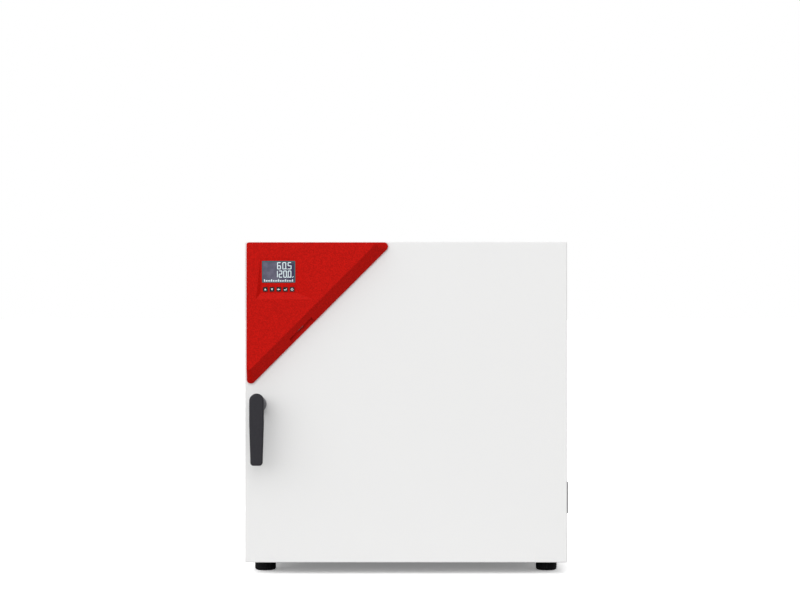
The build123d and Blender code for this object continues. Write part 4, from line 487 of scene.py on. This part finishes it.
# %% [markdown]
# ## Display window
#
# The display is a liquid crystal with a light behind it, under a clear acrylic window. What the eye
# gets is a slate violet that turns bluer and darker to the right, because the crystal is lit from
# one edge. Window and crystal are one solid, so the change is a colour that fades in along X, from
# about the window's middle on. Its two ends are places on the oven, in millimetres.

# %% Lit crystal
FADE_START = -285.0
FADE_END = -255.0
crystal = new_material("lit_liquid_crystal", "#656375", 0.3, Specular_IOR_Level=0.25)
grain(crystal, "#5b596b", "#6a687a", 14.0, 0.0, contrast=(0.4, 0.6))
fading = add_node(
    crystal[1],
    "ShaderNodeMapRange",
    {"From Min": FADE_START * MM, "From Max": FADE_END * MM},
    {"Value": place_along(crystal, "X")},
)
lay_over(crystal, "#3c3452", fading.outputs["Result"])
coat(crystal, "display_lens")

# %% [markdown]
# ## Display frame and keys
#
# Round the window runs a thin frame of ABS in teal grey. The keys below it are moulded from a dark
# teal, nearly black, and rubbed smooth by fingers, with just enough shine to show their edges.

# %% Frame and keys
frame_abs = new_material("teal_grey_frame_abs", "#3f666d", 0.4, Specular_IOR_Level=0.2)
grain(frame_abs, "#3a6168", "#446c73", 1.0, 0.02)
coat(frame_abs, "display_bezel")

KEYS = ("up", "down", "back", "enter", "standby")
key_abs = new_material("dark_teal_key_abs", "#0c2426", 0.42, Specular_IOR_Level=0.15)
grain(key_abs, "#0a2022", "#0f2a2d", 1.0, 0.03)
coat(key_abs, *[f"button_{key}" for key in KEYS])

# %% [markdown]
# ## Where the deck is
#
# The keys and the display lie on a deck that is sunk in the housing and tilts down by 3.7 degrees.
# One matrix holds its place: X along the keys, Y up the deck and Z straight out of it. Whatever is
# built flat round the origin then goes onto the deck with a single transform. The oven's own
# pieces give the matrix: the display its middle, the housing its front and its top.

# %% Deck matrix
DECK_BELOW_TOP = 34.5
DECK_RUN = 77.0
DECK_DEPTH = 5.0

lens_low, lens_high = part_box("display_lens")
housing_low, housing_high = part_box("control_housing")
deck_tilt = math.atan2(DECK_DEPTH, DECK_RUN)
deck_x = Vector((1, 0, 0))
deck_z = Vector((0, -math.cos(deck_tilt), -math.sin(deck_tilt)))
deck_y = deck_z.cross(deck_x)
deck = Matrix((deck_x, deck_y, deck_z)).transposed().to_4x4()
deck_place = (
    in_mm((lens_low.x + lens_high.x) / 2),
    in_mm(housing_low.y),
    in_mm(housing_high.z) - DECK_BELOW_TOP,
)
deck.translation = Vector(deck_place) * MM
print("deck tilt in degrees:", round(math.degrees(deck_tilt), 2))
print("the deck starts at, in mm:", deck_place)

# %% [markdown]
# ## Moves and turns
#
# A shape is shifted and turned by multiplying matrices, read from left to right as seen from the
# shape: go there, then turn. Two short helpers keep the millimetres and degrees readable.

# %% Moves and turns
def at(x, y, z=0.0):
    """Shift in millimetres, as a matrix."""
    return Matrix.Translation(Vector((x, y, z)) * MM)


def turned(degrees, axis="Z"):
    """Turn round an axis through the origin, as a matrix."""
    return Matrix.Rotation(math.radians(degrees), 4, axis)


print("a shift of 10 mm in metres:", round(at(10, 0).translation.x, 3))

# %% [markdown]
# ## Bars
#
# Digits and symbols are inks and crystal segments with hardly any thickness. A bar could be a plane,
# but a plane has no edge and shows badly from the side, so each one is a thin block. It starts as a
# cube that is scaled. Where its ends are pointed, as on a segment display, its four upright edges
# are bevelled.

# %% Bars
INK = 0.12


def bar(shape, matrix, length, width, point=0.0):
    """Flat bar along X round the matrix's origin, its ends cut to points where asked."""
    made = bmesh.ops.create_cube(shape, size=1.0)["verts"]
    bmesh.ops.scale(shape, verts=made, vec=(length * MM, width * MM, INK * MM))
    if point:
        edges = {edge for vert in made for edge in vert.link_edges}
        half = INK * MM / 2
        upright = [edge for edge in edges if abs((edge.verts[0].co - edge.verts[1].co).z) > half]
        cut = bmesh.ops.bevel(
            shape, geom=upright, offset=point * MM, affect="EDGES", segments=1, profile=0.5, material=-1
        )
        left = {vert for vert in made if vert.is_valid}
        made = list({vert for face in cut["faces"] for vert in face.verts} | left)
    bmesh.ops.transform(shape, matrix=matrix, verts=made)


print("thickness of the ink in mm:", INK)

# %% [markdown]
# ## Prisms and rings
#
# Triangles, dots and squares are low cylinders with few or many sides. A ring is a circle of edges
# that is extruded inwards by scaling the new edge loop, and then solidified, so it needs no cut.

# %% Prisms
def prism(shape, matrix, sides, radius):
    """Flat prism with that many sides, its first corner on Y."""
    made = bmesh.ops.create_cone(
        shape, cap_ends=True, segments=sides, radius1=radius * MM, radius2=radius * MM, depth=INK * MM
    )["verts"]
    bmesh.ops.transform(shape, matrix=matrix, verts=made)


print("prism:", prism.__doc__)

# %% Rings
RING_SIDES = 28


def ring(shape, matrix, outer, inner):
    """Flat ring from its two radii, its thickness going down from the matrix's plane."""
    circle = bmesh.ops.create_circle(
        shape, cap_ends=False, segments=RING_SIDES, radius=outer * MM
    )["verts"]
    edges = list({edge for vert in circle for edge in vert.link_edges})
    made = bmesh.ops.extrude_edge_only(shape, edges=edges)["geom"]
    rim = [item for item in made if isinstance(item, bmesh.types.BMVert)]
    bmesh.ops.scale(shape, verts=rim, vec=(inner / outer, inner / outer, 1))
    flat = [item for item in made if isinstance(item, bmesh.types.BMFace)]
    solid = bmesh.ops.solidify(shape, geom=flat, thickness=INK * MM)["geom"]
    new = {vert for item in solid if isinstance(item, bmesh.types.BMFace) for vert in item.verts}
    bmesh.ops.transform(shape, matrix=matrix, verts=list(new | set(circle) | set(rim)))


print("ring:", ring.__doc__)

# %% [markdown]
# ## From shape to piece
#
# A finished shape becomes a mesh whose object stays at the origin, unturned, as the oven's own
# pieces do. It rides on a body, so that a symbol goes in with its key and a print swings with the
# door.

# %% From shape to piece
def finished(shape, name, material_parts, body, slot):
    """Turns the bmesh into a piece that rides on a body."""
    bmesh.ops.recalc_face_normals(shape, faces=shape.faces)
    mesh = bpy.data.meshes.new(name)
    shape.to_mesh(mesh)
    shape.free()
    piece = bpy.data.objects.new(name, mesh)
    bpy.context.scene.collection.objects.link(piece)
    mesh.materials.append(material_parts[0])
    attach(piece, body)
    print(name, "faces:", len(mesh.polygons))


print("finished:", finished.__doc__)

# %% [markdown]
# ## Lit segments
#
# The segments of the display let the light behind them through, so they are a cyan white with a
# faint glow. The glow is small: it only keeps them from greying in the deck's shade.

# %% Lit segments
lit_segment = new_material(
    "lit_segment", "#e6f6f8", 0.4, Emission_Color=linear("#d8f2f6"), Emission_Strength=0.1
)
grain(lit_segment, "#dff2f5", "#eefafc", 2.0, 0.0)
print("material:", lit_segment[0].name)

# %% [markdown]
# ## Digits
#
# Each figure is a set of seven pointed bars, lettered from a at the top, clockwise to f, with g in
# the middle. A font could write the numbers, but bars give the gaps and points of a real segment
# display. The display's middle lies 30.7 mm below the top of the deck.

# %% Seven-segment digits
SEGMENTS = {
    "0": "abcdef", "1": "bc", "2": "abged", "3": "abgcd", "4": "fgbc",
    "5": "afgcd", "6": "afgedc", "7": "abc", "8": "abcdefg", "9": "abcdfg",
}
STROKE = 1.7
STROKE_REACH = 0.6
STROKE_POINT = 0.45
DISPLAY_Y = -30.7


def digit(shape, figure, x, y, width, height):
    """One digit centred at x, y on the deck, in millimetres."""
    half, tall = (width - STROKE) / 2, (height - STROKE) / 2
    spots = {
        "a": (0, tall, 0), "g": (0, 0, 0), "d": (0, -tall, 0),
        "b": (half, tall / 2, 90), "c": (half, -tall / 2, 90),
        "f": (-half, tall / 2, 90), "e": (-half, -tall / 2, 90),
    }
    for segment in SEGMENTS[figure]:
        spot_x, spot_y, angle = spots[segment]
        length = (tall if angle else width - STROKE) + STROKE * STROKE_REACH
        matrix = deck @ at(x + spot_x, y + spot_y, INK / 2) @ turned(angle)
        bar(shape, matrix, length, STROKE, STROKE * STROKE_POINT)


print("bars in all ten figures:", sum(len(bars) for bars in SEGMENTS.values()))

# %% [markdown]
# ## Two rows of numbers
#
# Each row is set to the right and has a square point before its last figure. The numbers are plain
# ones. A row is written down once, as its figures and their sizes and places in millimetres from
# the display's middle, and one loop builds both.

# %% Two rows of numbers
ROWS = (
    {"figures": "605", "x": 0.8, "y": 13.2, "pitch": 11.6, "width": 8.2, "height": 15.6},
    {"figures": "1200", "x": -5.8, "y": -5.0, "pitch": 9.9, "width": 7.6, "height": 15.4},
)
POINTS = (
    {"x": 18.2, "y": 6.2, "radius": 1.3},
    {"x": 19.0, "y": -12.0, "radius": 1.2},
)

numbers = bmesh.new()
for row, point in zip(ROWS, POINTS):
    for place, figure in enumerate(row["figures"]):
        x = row["x"] + row["pitch"] * place
        digit(numbers, figure, x, DISPLAY_Y + row["y"], row["width"], row["height"])
    square = deck @ at(point["x"], DISPLAY_Y + point["y"], INK / 2) @ turned(45)
    prism(numbers, square, 4, point["radius"])
finished(numbers, "display_numbers", lit_segment, "door", "display_glass")

# %% [markdown]
# ## Marks round the numbers
#
# A small ring beside the upper number stands for degrees, and a slanted bar beside the lower one
# for its unit. Below them the display has a row of plain marks, every fourth a little taller, like
# a time scale. The heights are measured from the display's middle, and the slant is in radians.

# %% Unit marks and the row of marks below
UNIT_X = 31.0
RING_Y, RING_OUTER, RING_INNER = 19.5, 1.9, 0.9
SLANT_Y, SLANT_LENGTH, SLANT_WIDTH = -11.5, 4.6, 1.2
SLANT_ANGLE = 0.8
MARK_COUNT, MARK_PITCH, MARK_WIDTH = 17, 3.85, 2.0
MARK_START, MARK_FOOT = -31.0, -21.6
MARK_HEIGHT, TALL_MARK_HEIGHT = 3.4, 5.0

marks = bmesh.new()
ring(marks, deck @ at(UNIT_X, DISPLAY_Y + RING_Y), RING_OUTER, RING_INNER)
slant = deck @ at(UNIT_X, DISPLAY_Y + SLANT_Y, INK / 2) @ Matrix.Rotation(SLANT_ANGLE, 4, "Z")
bar(marks, slant, SLANT_LENGTH, SLANT_WIDTH)
for step in range(MARK_COUNT):
    height = MARK_HEIGHT if step % 4 else TALL_MARK_HEIGHT
    place = at(MARK_START + MARK_PITCH * step, DISPLAY_Y + MARK_FOOT + height / 2, INK / 2)
    bar(marks, deck @ place @ turned(90), height, MARK_WIDTH)
finished(marks, "display_marks", lit_segment, "door", "display_glass")

# %% [markdown]
# ## Printing ink
#
# Symbols and scales are printed with a matt white ink, which soaks in at its edge and has no shine
# of its own. Against the dark plastic it only needs to be slightly off white.

# %% Printing ink
symbol_ink = new_material("white_printing_ink", "#e9efee", 0.5)
grain(symbol_ink, "#e4ebea", "#eef3f2", 1.0, 0.0)
print("material:", symbol_ink[0].name)

# %% [markdown]
# ## Where a key is
#
# Five keys stand in a row below the display, 14.7 mm apart, 69.3 mm below the top of the deck, and
# stick out of it by 1.2 mm. A symbol is placed from the middle of its key's top, and rides on its
# own key, so it goes in with it.

# %% Place on a key
KEY_PITCH = 14.7
KEY_Y = -69.3
KEY_TOP = 1.2


def key_place(key, x=0.0, y=0.0, angle=0.0):
    """Matrix half the ink above a key: shift in millimetres, turn in degrees."""
    step = KEYS.index(key) - len(KEYS) // 2
    return deck @ at(KEY_PITCH * step + x, KEY_Y + y, KEY_TOP + INK / 2) @ turned(angle)


def print_on_key(shape, key):
    """Turns a symbol into a piece that rides on its key."""
    finished(shape, f"symbol_{key}", symbol_ink, f"button_{key}_key", "key_plastic")


print("row of keys in mm:", KEY_PITCH * (len(KEYS) - 1))

# %% [markdown]
# ## Symbols for up and down
#
# Both are triangles with a corner up or down. A triangle reaches twice as far from its middle to
# the corner as to the side opposite, so each is shifted by half a millimetre to look centred.

# %% Up and down
ARROW = 2.9
ARROW_SHIFT = 0.5

for key, angle, shift in (("up", 0, -ARROW_SHIFT), ("down", 180, ARROW_SHIFT)):
    arrow = bmesh.new()
    prism(arrow, key_place(key, 0, shift, angle), 3, ARROW)
    print_on_key(arrow, key)

# %% [markdown]
# ## Symbols for back, enter and stand-by
#
# Back is an arrow to the left. Enter is the same arrow, smaller, with a tail that turns up at its
# end. Stand-by is a ring round a dot. All are put together from the same triangles, bars and rings.

# %% Back
BACK_HEAD, BACK_HEAD_X = 2.5, -1.2
BACK_TAIL, BACK_TAIL_X = 2.8, 1.4
BACK_STROKE = 1.6

back_arrow = bmesh.new()
prism(back_arrow, key_place("back", BACK_HEAD_X, 0, 90), 3, BACK_HEAD)
bar(back_arrow, key_place("back", BACK_TAIL_X, 0), BACK_TAIL, BACK_STROKE)
print_on_key(back_arrow, "back")

# %% Enter
ENTER_HEAD, ENTER_HEAD_X = 2.0, -1.4
ENTER_TAIL, ENTER_TAIL_X = 3.0, 0.9
ENTER_RISE, ENTER_RISE_X, ENTER_RISE_Y = 3.6, 2.1, 0.5
ENTER_Y = -1.1
ENTER_STROKE = 1.1

enter_arrow = bmesh.new()
prism(enter_arrow, key_place("enter", ENTER_HEAD_X, ENTER_Y, 90), 3, ENTER_HEAD)
bar(enter_arrow, key_place("enter", ENTER_TAIL_X, ENTER_Y), ENTER_TAIL, ENTER_STROKE)
bar(enter_arrow, key_place("enter", ENTER_RISE_X, ENTER_RISE_Y, 90), ENTER_RISE, ENTER_STROKE)
print_on_key(enter_arrow, "enter")

# %% Stand-by
STANDBY_OUTER, STANDBY_INNER = 2.8, 1.9
STANDBY_DOT, STANDBY_DOT_SIDES = 0.9, 16

standby_ring = bmesh.new()
ring(standby_ring, key_place("standby") @ at(0, 0, -INK / 2), STANDBY_OUTER, STANDBY_INNER)
prism(standby_ring, key_place("standby"), STANDBY_DOT_SIDES, STANDBY_DOT)
print_on_key(standby_ring, "standby")

# %% [markdown]
# ## Side panel
#
# The face of the side panel lies 6 mm inside the rim of its bezel. Its prints are built flat like
# the ones on the deck, and one matrix of axes stands them up on the oven's right side: X to the
# rear, Y up and Z out of the panel. The joints tell where the knob and the rocker turn.

# %% Side panel axes
PANEL_SINK = 6.0
SIDE_AXES = Matrix(((0, 0, 1), (1, 0, 0), (0, 1, 0))).to_4x4()
panel_face = in_mm(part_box("side_bezel")[1].x) - PANEL_SINK


def on_side(x, y, z):
    """Matrix at a place on the right side, in millimetres, with the side's axes."""
    return at(x, y, z) @ SIDE_AXES


print("the panel's face is at, in mm:", panel_face)

# %% [markdown]
# ## Scale round the knob
#
# Round the safety thermostat's knob the panel carries a printed scale. It covers the 270 degrees
# that the knob can turn, open at the bottom, with a longer mark at its start, middle and end. One
# loop turns a bar to each place.

# %% Scale round the knob
SCALE_COUNT = 11
SCALE_START = 225.0
SCALE_SWEEP = joints["thermostat_turn"]["range_deg"][1]
SCALE_RADIUS = 17.2
SCALE_MARK, SCALE_LONG_MARK, SCALE_WIDTH = 3.4, 4.6, 0.9

knob_y, knob_z = [in_mm(v) for v in joints["thermostat_turn"]["pos_m"][1:]]
scale_middle = on_side(panel_face, knob_y, knob_z)
scale_marks = bmesh.new()
for step in range(SCALE_COUNT):
    angle = SCALE_START - SCALE_SWEEP / (SCALE_COUNT - 1) * step
    length = SCALE_MARK if step % 5 else SCALE_LONG_MARK
    bar(scale_marks, scale_middle @ turned(angle) @ at(SCALE_RADIUS, 0, INK / 2), length, SCALE_WIDTH)
finished(scale_marks, "thermostat_scale", symbol_ink, "cabinet", "grey_plastic")

# %% [markdown]
# ## Marks on the rocker
#
# The main switch has a bar for on and a ring for off. The rocker's face is a shallow V that tilts
# to one side, so each mark is first tilted with the rocker and then laid on its half of the V. They
# ride on the rocker.

# %% Marks on the rocker
ROCKER_RADIUS = 13.0
ROCKER_TILT = 10.0
ROCKER_CROWN = 3.5
ROCKER_MARK_Y = 7.0
ON_LENGTH, ON_WIDTH = 4.2, 0.9
OFF_OUTER, OFF_INNER = 2.2, 1.5

rocker_rise = ROCKER_RADIUS * math.sin(math.radians(ROCKER_TILT))
half_slope = math.atan2(rocker_rise, ROCKER_RADIUS)
mark_height = ROCKER_CROWN + ROCKER_MARK_Y * math.tan(half_slope)
rocker_middle = [in_mm(v) for v in joints["switch_rock"]["pos_m"]]
rocker = at(*rocker_middle) @ turned(-ROCKER_TILT, "Y") @ SIDE_AXES
upper_half = rocker @ at(0, ROCKER_MARK_Y, mark_height) @ Matrix.Rotation(half_slope, 4, "X")
lower_half = rocker @ at(0, -ROCKER_MARK_Y, mark_height) @ Matrix.Rotation(-half_slope, 4, "X")

switch_marks = bmesh.new()
bar(switch_marks, upper_half @ turned(90), ON_LENGTH, ON_WIDTH)
ring(switch_marks, lower_half, OFF_OUTER, OFF_INNER)
finished(switch_marks, "switch_marks", symbol_ink, "rocker", "black_plastic")

# %% [markdown]
# ## Springs in the network socket
#
# In the mouth of a network socket stand eight thin springs, gilded so that they never tarnish. They
# slope down from the roof of the mouth to its back, and they are what tells the opening from a
# plain hole. Gold flash is a warm, bright metal, and the springs are too thin to show a grain.

# %% Gilded springs
MOUTH_DEPTH = 12.0
SPRING_COUNT = 8
SPRING_PITCH, SPRING_WIDTH, SPRING_LENGTH = 1.02, 0.4, 8.0
SPRING_Y, SPRING_OUT, SPRING_SLOPE = 2.4, 4.0, 78.0

gilt = new_material("gold_flash_contact", "#d9b25c", 0.25, 1.0)
grain(gilt, "#cfa850", "#e0bb68", 1.0, 0.0)
socket_low, socket_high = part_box("network_socket")
socket_y, socket_z = in_mm((socket_low.y + socket_high.y) / 2), in_mm((socket_low.z + socket_high.z) / 2)
mouth_back = on_side(socket_face - MOUTH_DEPTH, socket_y, socket_z)

springs = bmesh.new()
for step in range(SPRING_COUNT):
    across = SPRING_PITCH * (step - (SPRING_COUNT - 1) / 2)
    spring = mouth_back @ at(across, SPRING_Y, SPRING_OUT) @ turned(SPRING_SLOPE, "X") @ turned(90)
    bar(springs, spring, SPRING_LENGTH, SPRING_WIDTH)
finished(springs, "network_springs", gilt, "cabinet", "brass")

# %% [markdown]
# ## World
#
# The oven stands in an even white studio. Where the camera, a reflection or something clear looks
# past the oven, the world is plain white. For everything else it is a weaker fill, because a white
# world at full strength would wash out the shadows. The light path node tells the two apart, and
# the view transform stays Standard, so a colour comes out as it is written.

# %% World
FILL = 0.47
scene = bpy.context.scene
scene.view_settings.view_transform = "Standard"
world = bpy.data.worlds.new("studio")
world.use_nodes = True
scene.world = world
sky = world.node_tree
sky.nodes.clear()

path = add_node(sky, "ShaderNodeLightPath")
seen = add_node(
    sky,
    "ShaderNodeMath",
    links={0: path.outputs["Is Camera Ray"], 1: path.outputs["Is Glossy Ray"]},
    operation="MAXIMUM",
)
through = add_node(
    sky,
    "ShaderNodeMath",
    links={0: seen.outputs["Value"], 1: path.outputs["Is Transmission Ray"]},
    operation="MAXIMUM",
)
fill = add_node(sky, "ShaderNodeBackground", {"Color": linear("#ffffff"), "Strength": FILL})
white = add_node(sky, "ShaderNodeBackground", {"Color": linear("#ffffff"), "Strength": 1.0})
both = add_node(
    sky,
    "ShaderNodeMixShader",
    links={0: through.outputs["Value"], 1: fill.outputs["Background"], 2: white.outputs["Background"]},
)
add_node(sky, "ShaderNodeOutputWorld", links={"Surface": both.outputs["Shader"]})
print("fill:", FILL)

# %% [markdown]
# ## Sun
#
# One large soft source stands in front, up and to the left. An area lamp would fall off across the
# oven, so a sun is used, with a disc 90 degrees wide that blurs its shadows like a big softbox.
# Fill and sun together make a white panel come out at about its own colour.

# %% Sun
SUN_STRENGTH = 2.36
SUN_DISC = 90.0
SUN_RAYS = Vector((0.42, 0.8, -0.55))

sun_data = bpy.data.lights.new("softbox", "SUN")
sun_data.energy = SUN_STRENGTH
sun_data.angle = math.radians(SUN_DISC)
sun = bpy.data.objects.new("softbox", sun_data)
scene.collection.objects.link(sun)
sun.rotation_euler = SUN_RAYS.to_track_quat("-Z", "Y").to_euler()
print("sun strength:", SUN_STRENGTH)

# %% [markdown]
# ## Floor
#
# The oven stands on a floor as white as the background, with only a soft shadow below it. For the
# light that reaches the oven the floor is a plain pale grey. The camera sees it brighter, with a
# little white added, so that it melts into the background and keeps only the deepest shadow.

# %% Floor paint
FLOOR_GAIN = 1.8
FLOOR_GLOW = 0.2

floor_paint = bpy.data.materials.new("pale_floor")
floor_paint.use_nodes = True
floor_tree = floor_paint.node_tree
floor_tree.nodes.clear()
floor_path = add_node(floor_tree, "ShaderNodeLightPath")
plain = add_node(floor_tree, "ShaderNodeBsdfDiffuse", {"Color": linear("#c4c4c4")})
bright = add_node(floor_tree, "ShaderNodeBsdfDiffuse", {"Color": (*[FLOOR_GAIN] * 3, 1.0)})
glow = add_node(floor_tree, "ShaderNodeEmission", {"Color": linear("#ffffff"), "Strength": FLOOR_GLOW})
lifted = add_node(
    floor_tree,
    "ShaderNodeAddShader",
    links={0: bright.outputs["BSDF"], 1: glow.outputs["Emission"]},
)
camera_sees = floor_path.outputs["Is Camera Ray"]
total = add_node(
    floor_tree,
    "ShaderNodeMixShader",
    links={0: camera_sees, 1: plain.outputs["BSDF"], 2: lifted.outputs["Shader"]},
)
add_node(floor_tree, "ShaderNodeOutputMaterial", links={"Surface": total.outputs["Shader"]})
print("material:", floor_paint.name)

# %% Floor plane
FLOOR_REACH = 60.0

floor_shape = bmesh.new()
bmesh.ops.create_grid(floor_shape, x_segments=1, y_segments=1, size=FLOOR_REACH)
floor_mesh = bpy.data.meshes.new("floor")
floor_shape.to_mesh(floor_mesh)
floor_shape.free()
floor = bpy.data.objects.new("floor", floor_mesh)
scene.collection.objects.link(floor)
floor_mesh.materials.append(floor_paint)
print("floor is wide, in metres:", 2 * FLOOR_REACH)

# %% [markdown]
# ## Camera
#
# The oven is seen dead level from the front, from 4.75 m before the door, 0.6 m above the floor and
# a little left of its middle. So far away its sides hardly show. The lens follows from the distance
# and from how much of the door's plane the picture spans, 1.76 m.

# %% Camera
DISTANCE = 4.75
VIEW_WIDTH = 1.7629
EYE_X = -0.01745
EYE_Z = 0.6065
SENSOR = 36.0
door_face = in_mm(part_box("door_outer_panel")[0].y) * MM

camera_data = bpy.data.cameras.new("front_view")
camera_data.sensor_width = SENSOR
camera_data.lens = SENSOR * DISTANCE / VIEW_WIDTH
camera = bpy.data.objects.new("front_view", camera_data)
scene.collection.objects.link(camera)
camera.location = (EYE_X, door_face - DISTANCE, EYE_Z)
camera.rotation_euler = (math.radians(90), 0, 0)
scene.camera = camera
print("lens in mm:", round(camera_data.lens, 1))

# %% [markdown]
# ## Size
#
# Nothing that was added stands out of the box round the packed model.
